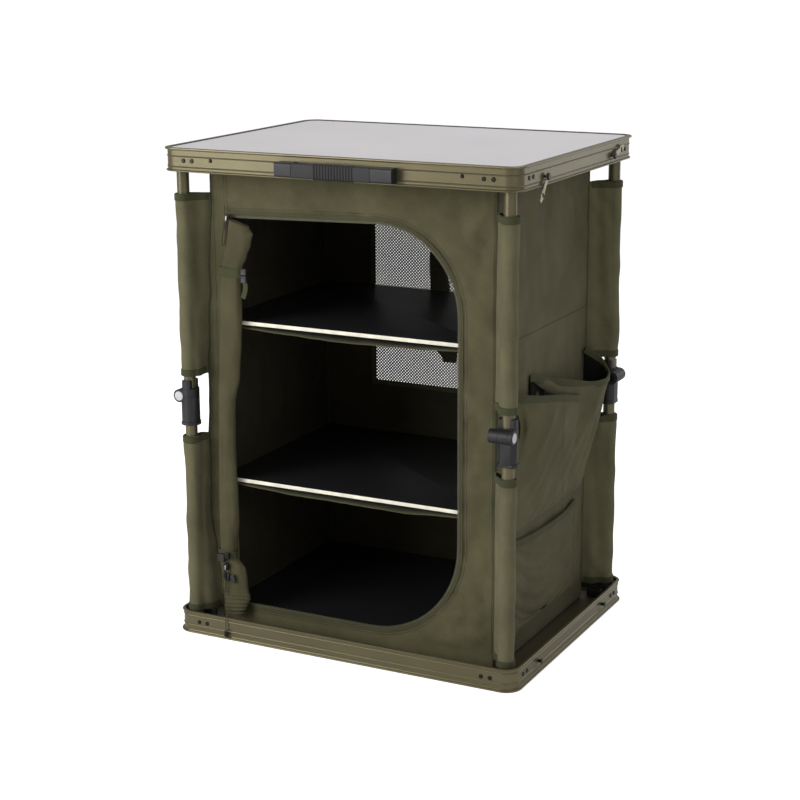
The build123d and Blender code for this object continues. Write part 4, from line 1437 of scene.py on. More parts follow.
class CUPBOARD_OT_window(Step, bpy.types.Operator):
    """Makes the window's net, its binding and the gathered cover behind it."""

    bl_idname = "cupboard.window"
    bl_label = "Net Window"

    def add_net(self):
        cloth = settings()[0]
        centre = (window_low + window_high) / 2
        wide, tall = window_high.x - window_low.x, window_high.z - window_low.z
        reach = (wide + tall) / math.sqrt(2)
        turn = Matrix.Rotation(math.pi / 2, 4, "X") @ Matrix.Rotation(math.pi / 4, 4, "Z")
        bm = bmesh.new()
        count = round(reach / cloth.net)
        place = Matrix.Translation(centre) @ turn
        bmesh.ops.create_grid(bm, x_segments=count, y_segments=count, size=reach / 2, matrix=place)
        for spot, way in (
            (window_low, LEFT),
            (window_high, RIGHT),
            (window_low, -UP),
            (window_high, UP),
        ):
            geom = list(bm.verts) + list(bm.edges) + list(bm.faces)
            cut_off(bm, geom, spot, way)
        gaps = bmesh.ops.inset_individual(
            bm, faces=list(bm.faces), thickness=cloth.net * 0.27, use_even_offset=True
        )
        rims = set(gaps["faces"])
        holes = [face for face in bm.faces if face not in rims]
        bmesh.ops.delete(bm, geom=holes, context="FACES_ONLY")
        area = sum(face.calc_area() for face in bm.faces)
        uv = bm.loops.layers.uv.verify()
        for face in bm.faces:
            for loop in face.loops:
                loop[uv].uv = (loop.vert.co.x, loop.vert.co.z)
        net = add_piece("window_net", bm, "base", "net")
        modified(net, "SOLIDIFY", thickness=0.0004, offset=0.0)
        flattens(net)
        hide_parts("mesh_window")
        return net, (wide, tall), area

    def add_binding(self):
        cloth = settings()[0]
        bands = []
        outer, inner = cloth_high.y + 0.0003, cloth_high.y - 0.0019
        for name, way, y in (("out", BACK, outer), ("in", FRONT, inner)):
            corners = window_corners(y)
            for number, (a, b) in enumerate(zip(corners, corners[1:] + corners[:1])):
                run = (b - a).normalized() * cloth.binding / 2
                start = a - run + way * (0.0004 * (number % 2))
                points = spread(start, start + b - a + 2 * run, 20)
                band = add_band(f"window_tape_{name}_{number}", points, way, cloth.binding, 0.0014)
                bands.append(flattens(band))
        return bands

    def add_cover(self):
        """The window's cover, gathered in upright folds and tied, on the outside."""
        low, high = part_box("window_flap")
        folds, points_in_fold = 9, 8
        count = folds * points_in_fold
        rows = 54
        # How far down, the shift to the right, and the shares of the width and depth
        shape = (
            (0.0, 0.0, 1.5, 0.45),
            (0.2, 0.0, 1.2, 0.8),
            (0.5, -0.008, 0.9, 1.0),
            (0.93, 0.008, 1.0, 1.0),
            (1.0, 0.014, 0.6, 0.6),
        )
        middle = -0.020
        half_width, depth = 0.019, 0.0052
        bm = bmesh.new()
        section = []
        for i in range(count + 1):
            share = i / count
            x = (share - 0.5) * 2 * half_width
            deep = depth * (0.75 + 0.25 * math.sin(share * 17))
            section.append((x, math.sin(share * folds * 2 * math.pi) * deep, 0))
        stations = []
        for row in range(rows + 1):
            down = row / rows
            for (d0, s0, w0, p0), (d1, s1, w1, p1) in zip(shape, shape[1:]):
                if d0 <= down <= d1:
                    t = smooth_share(down, d0, d1)
                    shift, wide, deep = s0 + (s1 - s0) * t, w0 + (w1 - w0) * t, p0 + (p1 - p0) * t
            z = high.z - 0.001 - (high.z - low.z - 0.002) * down
            y = cloth_high.y + 0.0012 + depth * deep * 1.05
            size = Matrix.Diagonal((wide, deep, 1.0, 1.0))
            stations.append(Matrix.Translation((middle + shift, y, z)) @ size)
        sweep(bm, section, stations)
        bmesh.ops.recalc_face_normals(bm, faces=bm.faces)
        rumple(bm, 0.0012, (0.012, 0.012, 0.05), 8.0)
        floor_y = cloth_high.y + 0.0010
        for vert in bm.verts:
            vert.co.y = max(vert.co.y, floor_y)
        cover = add_piece("window_cover", bm, "base", "cloth", sheet_angle)
        made_cloth(cover, 0.0007, subdivide=0)
        flattens(cover)
        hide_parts("window_flap")
        centre = Vector((middle + 0.008, cloth_high.y + 0.0075, low.z + 0.045))
        turns = [2 * math.pi * i / 36 for i in range(36)]
        points = [centre + Vector((0.024 * math.cos(t), 0.0075 * math.sin(t), 0)) for t in turns]
        tie = add_upright_band("window_cover_tie", points, 0.012, 0.0016, "webbing", closed=True)
        flattens(tie)

    def build(self):
        net, flat, area = self.add_net()
        bands = self.add_binding()
        self.add_cover()


# Door


class CUPBOARD_OT_door(Step, bpy.types.Operator):
    """Rolls the door up beside the doorway, ties it twice and adds its zip's pulls."""

    bl_idname = "cupboard.door"
    bl_label = "Rolled Door"

    turns = 5.6
    tie_half = 0.007
    wrinkle_pitch = 0.0013
    tie_levels = (0.128, 0.5915)
    wall_y = panel_low.y - 0.0006
    # Height, left edge, right edge and depth of the roll
    outline = (
        (0.0325, -0.2290, -0.1910, 0.0210),
        (0.0460, -0.2320, -0.1865, 0.0200),
        (0.0580, -0.2355, -0.1825, 0.0180),
        (0.0850, -0.2380, -0.1870, 0.0180),
        (0.1050, -0.2380, -0.1905, 0.0165),
        (0.1300, -0.2400, -0.2105, 0.0130),
        (0.1500, -0.2390, -0.2065, 0.0160),
        (0.1870, -0.2380, -0.2005, 0.0178),
        (0.2700, -0.2360, -0.2030, 0.0180),
        (0.3500, -0.2340, -0.2040, 0.0180),
        (0.3820, -0.2330, -0.2010, 0.0178),
        (0.4300, -0.2310, -0.1915, 0.0176),
        (0.4800, -0.2280, -0.1870, 0.0174),
        (0.5300, -0.2260, -0.1850, 0.0172),
        (0.5700, -0.2260, -0.1855, 0.0160),
        (0.5915, -0.2254, -0.1855, 0.0128),
        (0.6030, -0.2230, -0.1815, 0.0132),
        (0.6160, -0.2190, -0.1740, 0.0150),
        (0.6360, -0.2150, -0.1650, 0.0160),
        (0.6600, -0.2130, -0.1610, 0.0150),
        (0.6755, -0.2120, -0.1680, 0.0120),
    )

    def roll_section(self):
        """A flattened spiral, from its free outer edge inwards."""
        section, count = [], 140
        for i in range(count + 1):
            turn = 2 * math.pi * self.turns * i / count
            shrink = 1 - 0.80 * i / count
            wave = 1 + 0.03 * math.sin(turn * 3.1)
            x = 0.5 * shrink * wave * math.cos(turn - 2.2)
            y = 0.5 * shrink * wave * math.sin(turn - 2.2)
            section.append((x, y, 0))
        return section

    def roll_at(self, z):
        """The roll's left edge, right edge and depth at a height."""
        for (z0, *first), (z1, *second) in zip(self.outline, self.outline[1:]):
            if z <= z1 or z1 == self.outline[-1][0]:
                t = smooth_share(z, z0, z1)
                return [a + (b - a) * t for a, b in zip(first, second)]

    def build(self):
        door = self.add_roll()
        with_door = self.add_ties() + self.add_pulls() + self.add_foot_strap()

    def add_roll(self):
        low_z, high_z = self.outline[0][0], self.outline[-1][0]
        stations = []
        wrinkled_rows, rows = 44, 138
        levels = [low_z + self.wrinkle_pitch * row for row in range(wrinkled_rows)]
        top = levels[-1]
        levels += [top + (high_z - top) * row / rows for row in range(1, rows + 1)]
        for z in levels:
            left, right, deep = self.roll_at(z)
            turn = 0.25 * noise.noise(Vector((0, 0, z * 5)))
            y = self.wall_y - deep / 2 - 0.0008
            size = Matrix.Diagonal((right - left, deep, 1.0, 1.0))
            place = Matrix.Translation(((left + right) / 2, y, z))
            stations.append(place @ size @ Matrix.Rotation(turn, 4, "Z"))
        bm = bmesh.new()
        sweep(bm, self.roll_section(), stations)
        bmesh.ops.recalc_face_normals(bm, faces=bm.faces)
        for vert in bm.verts:
            left, right, deep = self.roll_at(vert.co.z)
            tie = min(abs(vert.co.z - level) for level in self.tie_levels)
            centre = Vector(((left + right) / 2, self.wall_y - deep / 2, vert.co.z))
            away = vert.co - centre
            away.z = 0
            spot = Vector((vert.co.x * 110, vert.co.y * 110, vert.co.z * 9))
            loose = smooth_share(tie, 0.004, 0.03)
            fold = (0.0022 * noise.noise(spot) + 0.0010 * noise.noise(spot * 2.3)) * loose
            foot = 1 - smooth_share(vert.co.z, 0.045, 0.082)
            groove = 0.5 + 0.5 * math.sin(vert.co.z * 980 + 6 * noise.noise(spot * 0.25))
            bands = -0.0022 * groove**2 * foot
            pinch = 0.0010 * math.sin(math.atan2(away.y, away.x) * 11)
            pinch *= 1 - smooth_share(tie, 0.006, 0.045)
            if away.length > 0.0005:
                vert.co += away.normalized() * (fold + bands + pinch)
            head = smooth_share(vert.co.z, 0.640, 0.6755) * (vert.co.x - left) / (right - left)
            vert.co.z -= 0.012 * max(0.0, head)
            lean = 0.006 * (1 - smooth_share(vert.co.z, 0.032, 0.060))
            vert.co.y = max(-0.2015 - lean, min(vert.co.y, self.wall_y)) - lean * 0.4
        door = add_piece("door_rolled", bm, "base", "cloth", roll_angle)
        made_cloth(door, 0.0009, subdivide=0)
        flattens(door)
        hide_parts("door_roll")
        return door

    def add_ties(self):
        """Two webbing ties round the roll, the upper one with its buckle."""
        pieces = []
        for name, level in zip(("door_tie_low", "door_tie_high"), self.tie_levels):
            left, right, deep = self.roll_at(level)
            centre = Vector(((left + right) / 2, self.wall_y - deep / 2 - 0.0002, level))
            half_width, half_depth = (right - left) / 2 + 0.0014, deep / 2 + 0.0013
            points = []
            for i in range(48):
                turn = 2 * math.pi * i / 48
                x = half_width * math.copysign(abs(math.cos(turn)) ** 0.8, math.cos(turn))
                y = half_depth * math.copysign(abs(math.sin(turn)) ** 0.8, math.sin(turn))
                points.append(centre + Vector((x, y, 0.0010 * math.sin(turn * 2))))
            tie = add_upright_band(name, points, 2 * self.tie_half, 0.0014, "webbing", closed=True)
            pieces.append(flattens(tie))
        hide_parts("door_ties")
        right = self.roll_at(self.tie_levels[1])[1]
        buckle_place = Vector((right + 0.0085, self.wall_y - 0.0150, self.tie_levels[1] - 0.003))
        buckle = self.add_buckle(buckle_place)
        head, step = buckle_place + Vector((0.001, 0.001, -0.008)), Vector((0, -0.0003, -0.0034))
        tail = [head + RIGHT * (0.0022 * math.sin(i / 2)) + step * i for i in range(9)]
        strap = flattens(add_band("door_tie_tail", tail, FRONT, 0.0085, 0.0012, "webbing"))
        return pieces + [buckle, strap]

    def add_buckle(self, place):
        """A small side-release buckle: two bevelled halves with a slot."""
        bm = bmesh.new()
        for shift, tall in ((0.0062, 0.0100), (-0.0054, 0.0110)):
            size = Matrix.Diagonal((0.0105, 0.0042, tall, 1.0))
            spot = Matrix.Translation(place + UP * shift)
            made = bmesh.ops.create_cube(bm, size=1.0, matrix=spot @ size)
            bm.normal_update()
            faces = {face for vert in made["verts"] for face in vert.link_faces}
            fronts = [face for face in faces if face.normal.y < -0.9]
            bmesh.ops.inset_individual(bm, faces=fronts, thickness=0.0022)
            corners = {vert for face in fronts for vert in face.verts}
            bmesh.ops.translate(bm, vec=(0, 0.0009, 0), verts=list(corners))
        buckle = add_piece("door_tie_buckle", bm, "base", "plastic")
        rounded(buckle, 0.0007)
        flattens(buckle)
        return buckle

    def add_slider(self, name, place, lean):
        """A zip slider with its pull tab and a cord loop."""
        turn = Matrix.Translation(place) @ Matrix.Rotation(lean, 4, "Y")
        pieces = []
        for part, finish, shift, size in (
            ("body", "fixing", (0, 0, 0), (0.0085, 0.0042, 0.0100)),
            ("bridge", "steel", (0, -0.0034, -0.001), (0.0030, 0.0026, 0.0072)),
            ("tab", "fixing", (0, -0.0044, -0.0125), (0.0050, 0.0012, 0.0150)),
        ):
            spot = turn @ Matrix.Translation(shift)
            pieces.append(add_block(f"{name}_{part}", spot, size, finish, 0.0006))
        loop = [
            turn @ Vector((0.0026 * math.sin(t), -0.0046, -0.0185 - 0.0130 * (1 - math.cos(t))))
            for t in [2 * math.pi * i / 28 for i in range(28)]
        ]
        pull = add_cord_piping(name + "_loop", loop, FRONT, 0.0010, "webbing", closed=True)
        return pieces + [flattens(pull)]

    def add_pulls(self):
        """The zip's upper slider, and the sliders, keeper and pull ends at the roll's foot."""
        upper = Vector((-0.2068, self.wall_y - 0.0090, 0.6765))
        front = self.wall_y - 0.0205
        pieces = self.add_slider("door_slider_high", upper, 0.16)
        pieces += self.add_slider("door_slider_low", Vector((-0.2200, front, 0.1115)), 0.10)
        slider = front - 0.0008
        for name, finish, x, y, z, size in (
            ("door_keeper", "plastic", -0.2296, front, 0.1250, (0.0130, 0.0052, 0.0125)),
            ("door_slider_side", "fixing", -0.2180, slider, 0.1300, (0.0088, 0.0044, 0.0105)),
        ):
            pieces.append(add_block(name, Matrix.Translation((x, y, z)), size, finish, 0.0010))
        for number, (x, z) in enumerate(((-0.2190, 0.0940), (-0.2075, 0.0925))):
            lean = Matrix.Rotation(0.25 - 0.5 * number, 4, "Y")
            place = Matrix.Translation((x, front - 0.0012, z)) @ lean
            size = (0.0085, 0.0036, 0.0130)
            pieces.append(add_block(f"door_pull_end_{number}", place, size, "plastic", 0.0014))
        return pieces

    def add_foot_strap(self):
        """A thin elastic strap from the roll's foot, over the tray's rim to a small hook."""
        lip = rim_height
        route = (
            (-0.2190, -0.2030, 0.0440),
            (-0.2180, -0.2075, 0.0395),
            (-0.2120, -0.2160, lip + 0.0022),
            (-0.2060, -0.2275, lip + 0.0018),
            (-0.2045, -0.2326, lip - 0.001),
            (-0.2042, -0.2332, lip - 0.012),
            (-0.2040, -0.2332, 0.014),
        )
        points = [Vector(point) for point in route]
        bm = bmesh.new()
        stations = []
        for a, point, b in zip(points[:1] + points, points, points[1:] + points[-1:]):
            along = (b - a).normalized()
            out = RIGHT.cross(along).normalized()
            stations.append(station(point, along.cross(out), along, out))
        sweep(bm, band_section(0.0020, 0.0010), stations)
        strap = add_piece("door_foot_strap", closed_up(bm), "base", "webbing", sleeve_angle)
        modified(strap, "SUBSURF", levels=1, render_levels=1)
        flattens(strap)
        spot = Matrix.Translation((-0.2040, -0.2332, 0.0095))
        hook = add_block("door_foot_hook", spot, (0.0065, 0.0026, 0.0100), "fixing", 0.0008)
        return [strap, hook]


# Pockets


class CUPBOARD_OT_pockets(Step, bpy.types.Operator):
    """Sews the open pockets on the right wall, with their hems and stitched edges."""

    bl_idname = "cupboard.pockets"
    bl_label = "Side Pockets"

    # Mouth lines from the front seam to the back seam, and where they stand at the foot
    big_mouth = (
        (0.2440, -0.060, 0.446),
        (0.2580, 0.000, 0.432),
        (0.2750, 0.060, 0.417),
        (0.2900, 0.118, 0.402),
        (0.2910, 0.146, 0.400),
        (0.2880, 0.170, 0.404),
        (0.2680, 0.177, 0.428),
        (0.2440, 0.162, 0.446),
    )
    big_foot = (-0.060, 0.000, 0.060, 0.112, 0.132, 0.150, 0.160, 0.164)
    small_mouth = (
        (0.2440, -0.130, 0.432),
        (0.2540, -0.105, 0.425),
        (0.2640, -0.060, 0.415),
        (0.2700, -0.020, 0.408),
        (0.2725, 0.005, 0.4035),
        (0.2765, 0.060, 0.390),
        (0.2800, 0.100, 0.378),
    )
    small_foot = (-0.129, -0.105, -0.060, -0.020, 0.005, 0.055, 0.090)
    foot_level = 0.206
    cloth_lift = 0.0012
    # Where rows of stitches start outside the pockets, before they are laid on the cloth
    outside = 0.30
    # The small pocket's front edge bows back about this level
    bow_level, bow_half = 0.372, 0.036

    def edge_row(self, start, end, count):
        """A straight row of points outside the pockets, from one depth and height to another."""
        return spread(Vector((self.outside, *start)), Vector((self.outside, *end)), count)

    def hung_sheet(self, mouth, foot, wall_x, seed, depth, creases=(), recess=0.0):
        """A sheet from a line on the wall up to a mouth that stands out from it."""
        length = sum((Vector(b) - Vector(a)).length for a, b in zip(mouth, mouth[1:]))
        tall = mouth[0][2] - self.foot_level
        bm = flat_sheet(Vector((0, 0, 0)), Vector((length, 0, 0)), UP * tall, 0.007)
        foot_line = [Vector((wall_x, y, self.foot_level)) for y in foot]
        spots = [Vector(point) for point in mouth]
        ends = [0.0]
        for a, b in zip(spots, spots[1:]):
            ends.append(ends[-1] + (b - a).length)
        for vert in bm.verts:
            along, rise = vert.co.x, max(0.0, min(1.0, vert.co.z / tall))
            for number in range(len(ends) - 1):
                if along <= ends[number + 1] + 1e-6:
                    break
            share = (along - ends[number]) / (ends[number + 1] - ends[number])
            top = spots[number].lerp(spots[number + 1], share)
            low = foot_line[number].lerp(foot_line[number + 1], share)
            x = low.x + (top.x - low.x) * rise**0.72
            y = low.y + (top.y - low.y) * rise**1.3
            z = low.z + (top.z - low.z) * rise
            side = smooth_share(along, 0.0, 0.020)
            side *= 1 - smooth_share(along, length - 0.012, length)
            free = side * smooth_share(rise, 0.0, 0.2) * (1 - 0.8 * smooth_share(rise, 0.88, 1.0))
            diagonal = Vector(((-0.8 * y + 0.6 * z) * 30, (0.6 * y + 0.8 * z) * 5, seed))
            fold = depth * (noise.noise(diagonal) + 0.5 * noise.noise(diagonal * 2.1))
            x += free * fold + crease_height(y, z, creases) * side
            bow = recess * math.exp(-(((z - self.bow_level) / self.bow_half) ** 2))
            y += bow * (1 - smooth_share(along, 0.0, 0.05))
            vert.co = Vector((max(wall_x, x) + self.cloth_lift, y, z))
        return bm

    def low_sheet(self, low, high, wall_x, seed):
        """The low pocket: a flat sheet whose mouth stands off the wall a little."""
        front, back = low.y, high.y
        bm = flat_sheet(Vector((wall_x, front, low.z)), BACK * (back - front), UP * 1.0, 0.007)
        for vert in bm.verts:
            share = (vert.co.y - front) / (back - front)
            rise = vert.co.z - low.z
            vert.co.z = low.z + rise * (self.low_mouth(share) - low.z)
            stand = 0.0085 * arch(share**1.4) * rise**2.2
            spot = Vector((vert.co.y * 13 + vert.co.z * 9, vert.co.z * 5 - vert.co.y * 4, seed))
            crease = 0.0014 * noise.noise(spot) * smooth_share(rise, 0.0, 0.25) * arch(share)
            vert.co.x = wall_x + self.cloth_lift + max(0.0008, stand + crease)
        return bm

    def low_mouth(self, share):
        """Height of the low pocket's mouth at a share of its width."""
        return 0.1986 - 0.0049 * share - 0.0180 * share * (1 - share)

    def finish_pocket(
        self, name, bm, slack, caps, node_name, mouth_row, flat, held, edge_rows, area=None
    ):
        """Lets a pocket's sheet settle, and adds its hem and stitches."""
        cloth = settings()[0]
        pocket = add_piece(name, bm, "base", "cloth", sheet_angle)
        settle(pocket, held, RIGHT, slack, *caps, frames=20, bending=0.3)
        # The pocket's inner side is black: painted shade
        made_cloth(pocket, cloth.thickness, lined=True, lining="pocket_lining")
        flattens(pocket)
        if node_name:
            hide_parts(node_name)
        row = self.top_row(pocket, mouth_row)
        path = [point - UP * (cloth.hem / 2 - 0.001) for point in row]
        hem = flattens(add_upright_band(name + "_hem", path, cloth.hem, 0.0036))
        rows = draped_rows(pocket, edge_rows, RIGHT, 0.05)
        seams = flattens(add_stitches(name + "_stitches", rows, RIGHT, 0.0001))
        return pocket

    def top_row(self, pocket, mouth_row):
        """Points along the pocket's mouth, moved to where its cloth came to rest."""
        bpy.context.view_layer.update()
        tree = BVHTree.FromObject(pocket, bpy.context.evaluated_depsgraph_get())
        found = [tree.find_nearest(point)[0] for point in mouth_row]
        smoothed = [found[0]]
        smoothed += [(a + b + c) / 3 for a, b, c in zip(found, found[1:], found[2:])]
        return smoothed + [found[-1]]

    def build(self):
        low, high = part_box("upper_pocket")
        wall_x = low.x + 0.0004
        big = self.add_big(wall_x)
        self.add_small(wall_x + 0.0014, big)
        self.add_shade_sheet(wall_x)
        low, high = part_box("lower_pocket")
        bm = self.low_sheet(low, high, low.x + 0.0002, 5.0)
        front, back = low.y, high.y
        row = [
            Vector((low.x + 0.009, front + (back - front) * i / 40, self.low_mouth(i / 40)))
            for i in range(41)
        ]
        head, foot = self.low_mouth(0.0) - 0.012, low.z + 0.004
        sides = (front + 0.004, back - 0.004)
        edge_rows = [self.edge_row((y, low.z), (y, head), 30) for y in sides]
        edge_rows.append(self.edge_row((front, foot), (back, foot), 40)[1:-1])

        def held(co):
            return co.z - low.z < 0.008 or co.y - front < 0.008 or back - co.y < 0.008

        flat = (back - front + 0.006, 0.155)
        caps = (0.002, 0.001)
        self.finish_pocket(
            "pocket_lower", bm, 0.005, caps, "lower_pocket", row, flat, held, edge_rows
        )

    def add_shade_sheet(self, wall_x):
        """A black sheet on the wall behind the pockets' mouths: painted shade where the pockets are
        in deep shade.
        """
        width, height, fall = 0.0715, 0.068, 0.016
        low = self.big_mouth[0][2] - 0.006 - height
        corner = Vector((wall_x + 0.0012, self.big_foot[0] + 0.0005, low))
        bm = flat_sheet(corner, BACK * width, UP * height, 0.012)
        for vert in bm.verts:
            slope = (vert.co.y - self.big_foot[0]) / width
            vert.co.z -= fall * slope * (vert.co.z - low) / height
        lining = add_piece("pocket_lining", bm, "base", "pocket_lining")
        made_cloth(lining, 0.0006, outside=True, subdivide=0)
        flattens(lining)

    def add_big(self, wall_x):
        creases = (
            ((0.020, 0.300), (0.118, 0.392), 0.006, -0.0026),
            ((0.045, 0.262), (0.120, 0.372), 0.007, 0.0028),
            ((-0.020, 0.235), (0.080, 0.318), 0.007, -0.0022),
            ((0.095, 0.250), (0.138, 0.362), 0.006, -0.0030),
        )
        bm = self.hung_sheet(self.big_mouth, self.big_foot, wall_x, 3.0, 0.0034, creases)
        # Open to the pocket in front, below a slanting edge
        start, end = Vector((0, -0.060, 0.4395)), Vector((0, 0.010, 0.4010))
        down = RIGHT.cross(end - start).normalized()
        down = down if down.z < 0 else -down
        near = [face for face in bm.faces if all(vert.co.y < end.y + 0.004 for vert in face.verts)]
        geom = near + list({edge for face in near for edge in face.edges})
        geom += list({vert for face in near for vert in face.verts})
        cut_off(bm, geom, start, down)
        row = [line_place(self.big_mouth, i / 60) for i in range(61)]
        low_y, high_y = self.big_foot[0], self.big_foot[-1]
        edge_rows = [self.edge_row((low_y + 0.003, 0.215), (low_y + 0.003, 0.430), 30)]

        def held(co):
            near_wall = co.x < wall_x + 0.004 and (co.y < low_y + 0.008 or co.y > high_y - 0.012)
            return co.z < self.foot_level + 0.008 or near_wall or co.y > 0.140

        caps, flat, area = (0.006, 0.004), (0.290, 0.222), 0.043
        return self.finish_pocket(
            "pocket_upper", bm, 0.012, caps, "upper_pocket", row, flat, held, edge_rows, area
        )

    def add_small(self, wall_x, big):
        """The pocket in front of the big one. Its back edge is sewn to the big one's cloth."""
        creases = (
            ((-0.124, 0.426), (-0.056, 0.384), 0.005, -0.0036),
            ((-0.060, 0.250), (0.040, 0.360), 0.007, -0.0028),
            ((-0.085, 0.300), (0.000, 0.398), 0.007, 0.0026),
            ((-0.110, 0.225), (-0.020, 0.300), 0.007, 0.0020),
        )
        bm = self.hung_sheet(self.small_mouth, self.small_foot, wall_x, 9.0, 0.0026, creases, 0.032)
        bpy.context.view_layer.update()
        tree = BVHTree.FromObject(big, bpy.context.evaluated_depsgraph_get())

        def over_big(co):
            hit = tree.ray_cast(Vector((0.40, co.y, co.z)), LEFT)[0]
            return hit.x if hit is not None else wall_x

        for vert in bm.verts:
            under = over_big(vert.co)
            joined = smooth_share(vert.co.y, 0.050, 0.082)
            own = max(vert.co.x, under + 0.0026)
            vert.co.x = own + (under - 0.0014 - own) * joined
        row = [line_place(self.small_mouth, 0.86 * i / 40) for i in range(41)]
        front, foot = self.small_foot[0] + 0.004, self.foot_level + 0.004
        edge_rows = [self.edge_row((front, 0.214), (front, 0.314), 16)]
        edge_rows.append(self.edge_row((-0.125, foot), (0.085, foot), 40))

        def held(co):
            return co.z < self.foot_level + 0.008 or co.y < -0.080 or co.y > 0.040 or co.z > 0.390

        caps, flat = (0.001, 0.003), (0.235, 0.205)
        self.finish_pocket("pocket_small", bm, 0.008, caps, None, row, flat, held, edge_rows)


# Shelves


class CUPBOARD_OT_shelves(Step, bpy.types.Operator):
    """Fits the two black shelves with their pale edging, and the slings under them."""

    bl_idname = "cupboard.shelves"
    bl_label = "Shelves"

    def build(self):
        for name, seed in (("shelf_upper", 1.0), ("shelf_lower", 6.0)):
            low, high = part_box(name)
            bm = bmesh.new()
            place = Matrix.Translation((low + high) / 2) @ Matrix.Diagonal((*(high - low), 1.0))
            bmesh.ops.create_cube(bm, size=1.0, matrix=place)
            upright = [
                edge for edge in bm.edges if abs(edge.verts[0].co.z - edge.verts[1].co.z) > 0.001
            ]
            bmesh.ops.bevel(
                bm, geom=upright, offset=0.003, segments=4, profile=0.5, affect="EDGES", material=-1
            )
            bm.normal_update()
            for face in bm.faces:
                face.material_index = 0 if abs(face.normal.z) > 0.5 else 1
            rims = [edge for edge in bm.edges if abs(edge.calc_face_angle(0.0) - math.pi / 2) < 0.1]
            bmesh.ops.bevel(
                bm, geom=rims, offset=0.0007, segments=2, profile=0.5, affect="EDGES", material=1
            )
            shelf = add_piece(name + "_board", bm, name, ("shelf", "edging"), metal_angle)
            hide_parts(name)
            self.add_sling(name, low.z - 0.0010, seed)

    def add_sling(self, name, top, seed):
        """The cloth that hangs under a shelf between the side walls."""
        cloth = settings()[0]
        end = cloth_high.x - 0.0024
        front, back = cloth_low.y + 0.0024, cloth_high.y - 0.0032
        drop = 0.0095
        bm = flat_sheet(Vector((-end, front, top)), RIGHT * (2 * end), BACK * (back - front), 0.008)
        for vert in bm.verts:
            share = (vert.co.x + end) / (2 * end)
            sag = arch(share)
            spot = Vector((vert.co.x * 16, vert.co.y * 9, seed))
            ripple = 0.0022 * noise.noise(spot) + 0.0012 * noise.noise(spot * 2.4)
            vert.co.z = min(top - 0.0004, top - drop * sag + ripple * sag)
        sling = add_piece(name + "_sling", bm, "base", "cloth", sheet_angle)
        made_cloth(sling, cloth.thickness)
        flattens(sling)
        if name == "shelf_upper":
            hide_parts("shelf_slings")
        points = [
            Vector((-end + 2 * end * i / 60, front + 0.002, top - drop * arch(i / 60)))
            for i in range(61)
        ]
        row = draped_rows(sling, [[point + BACK * 0.003 for point in points]], UP, 0.015)[0]
        hem = flattens(add_band(name + "_sling_hem", row, UP, 0.010, 0.0026))


# Handle and hooks


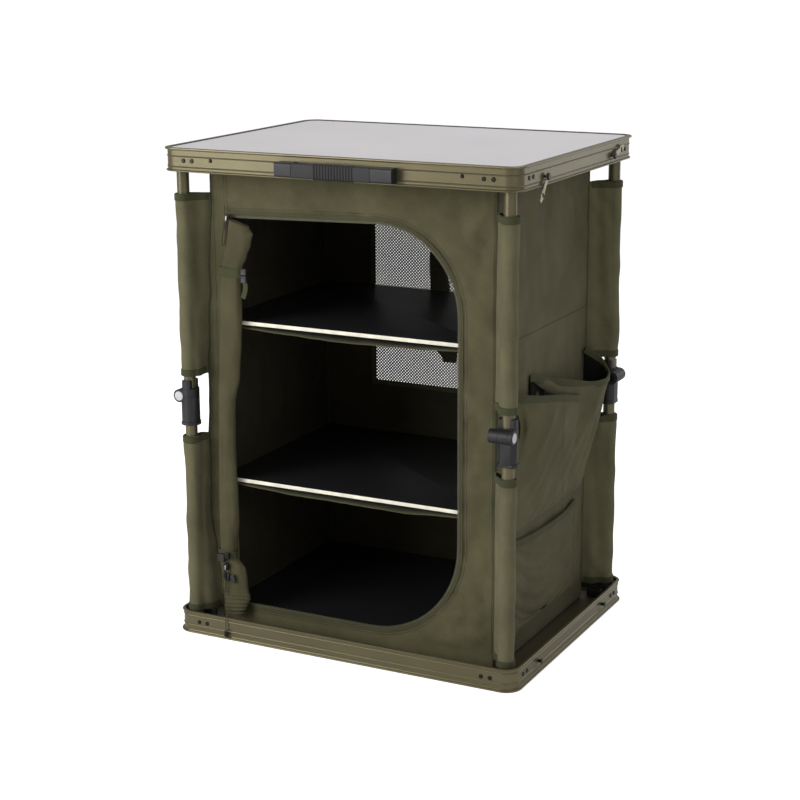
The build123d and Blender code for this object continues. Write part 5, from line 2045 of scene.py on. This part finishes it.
class CUPBOARD_OT_handle(Step, bpy.types.Operator):
    """Makes the carrying handle with its ribbed rubber grip, and finishes the latch hooks."""

    bl_idname = "cupboard.handle"
    bl_label = "Handle and Hooks"

    # How far a rib stands off the grip, at places along it
    rib_outline = (
        (-0.0004, -0.0016),
        (0.0008, -0.0012),
        (0.0013, 0.0),
        (0.0008, 0.0012),
        (-0.0004, 0.0016),
    )

    def build(self):
        hardware = settings()[1]
        dressed("handle_brackets", "plastic", hardware.plastic_edge)
        dressed("handle_grip", "rubber", hardware.plastic_edge)
        self.add_ribs(hardware)
        for side in ("left", "right"):
            for end in ("front", "back"):
                dressed(f"hook_{end}_{side}", "hook", hardware.edge / 2)

    def add_ribs(self, hardware):
        """Half-round ribs across the grip's outer face."""
        low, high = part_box("handle_grip")
        middle = (low.x + high.x) / 2
        half_depth, half_height = 0.0040, (high.z - low.z) / 2
        corner = 0.003
        centre = Vector((0, low.y + half_depth, (low.z + high.z) / 2))
        section = [(lift, 0, along) for lift, along in self.rib_outline + self.rib_outline[:1]]
        bm = bmesh.new()
        for number in range(hardware.grip_ribs):
            x = middle + 0.0045 + (number - (hardware.grip_ribs - 1) / 2) * hardware.grip_rib
            ring = []
            for quarter, (sy, sz) in enumerate(((1, 1), (-1, 1), (-1, -1), (1, -1))):
                for step in range(5):
                    angle = (quarter + step / 4) * math.pi / 2
                    y = sy * (half_depth - corner) + corner * math.cos(angle)
                    z = sz * (half_height - corner) + corner * math.sin(angle)
                    ring.append((centre + Vector((x, y, z)), angle))
            stations = []
            for spot, angle in ring:
                out = Vector((0, math.cos(angle), math.sin(angle)))
                stations.append(station(spot, out, RIGHT.cross(out), RIGHT))
            sweep(bm, section, stations + stations[:1])
        ribs = add_piece("handle_ribs", closed_up(bm), "handle", "rubber", sleeve_angle)


class CUPBOARD_PT_panel(bpy.types.Panel):
    """Lists the cupboard's settings and steps."""

    bl_idname = "CUPBOARD_PT_panel"
    bl_label = "Folding Camp Cupboard"
    bl_space_type = "VIEW_3D"
    bl_region_type = "UI"
    bl_category = "Cupboard"

    def draw(self, context):
        layout = self.layout
        for group in settings():
            box = layout.box()
            for name in group.bl_rna.properties.keys():
                if name not in ("rna_type", "name"):
                    box.prop(group, name)
        for step in steps:
            layout.operator(step.bl_idname, text=step.bl_label)


steps = (
    CUPBOARD_OT_stage,
    CUPBOARD_OT_trays,
    CUPBOARD_OT_legs,
    CUPBOARD_OT_sleeves,
    CUPBOARD_OT_cabinet,
    CUPBOARD_OT_doorway,
    CUPBOARD_OT_window,
    CUPBOARD_OT_door,
    CUPBOARD_OT_pockets,
    CUPBOARD_OT_shelves,
    CUPBOARD_OT_handle,
)
setting_groups = (CupboardCloth, CupboardHardware, CupboardColours)


def register():
    for group in setting_groups:
        bpy.utils.register_class(group)
    bpy.types.Scene.cupboard_cloth = bpy.props.PointerProperty(type=CupboardCloth)
    bpy.types.Scene.cupboard_hardware = bpy.props.PointerProperty(type=CupboardHardware)
    bpy.types.Scene.cupboard_colours = bpy.props.PointerProperty(type=CupboardColours)
    for step in steps + (CUPBOARD_PT_panel,):
        bpy.utils.register_class(step)


def unregister():
    for step in reversed(steps + (CUPBOARD_PT_panel,)):
        bpy.utils.unregister_class(step)
    for name in ("cupboard_cloth", "cupboard_hardware", "cupboard_colours"):
        delattr(bpy.types.Scene, name)
    for group in reversed(setting_groups):
        bpy.utils.unregister_class(group)


def main():
    """Registers the add-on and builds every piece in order."""
    register()
    for step in steps:
        group, name = step.bl_idname.split(".")
        getattr(getattr(bpy.ops, group), name)()


if __name__ == "__main__":
    main()
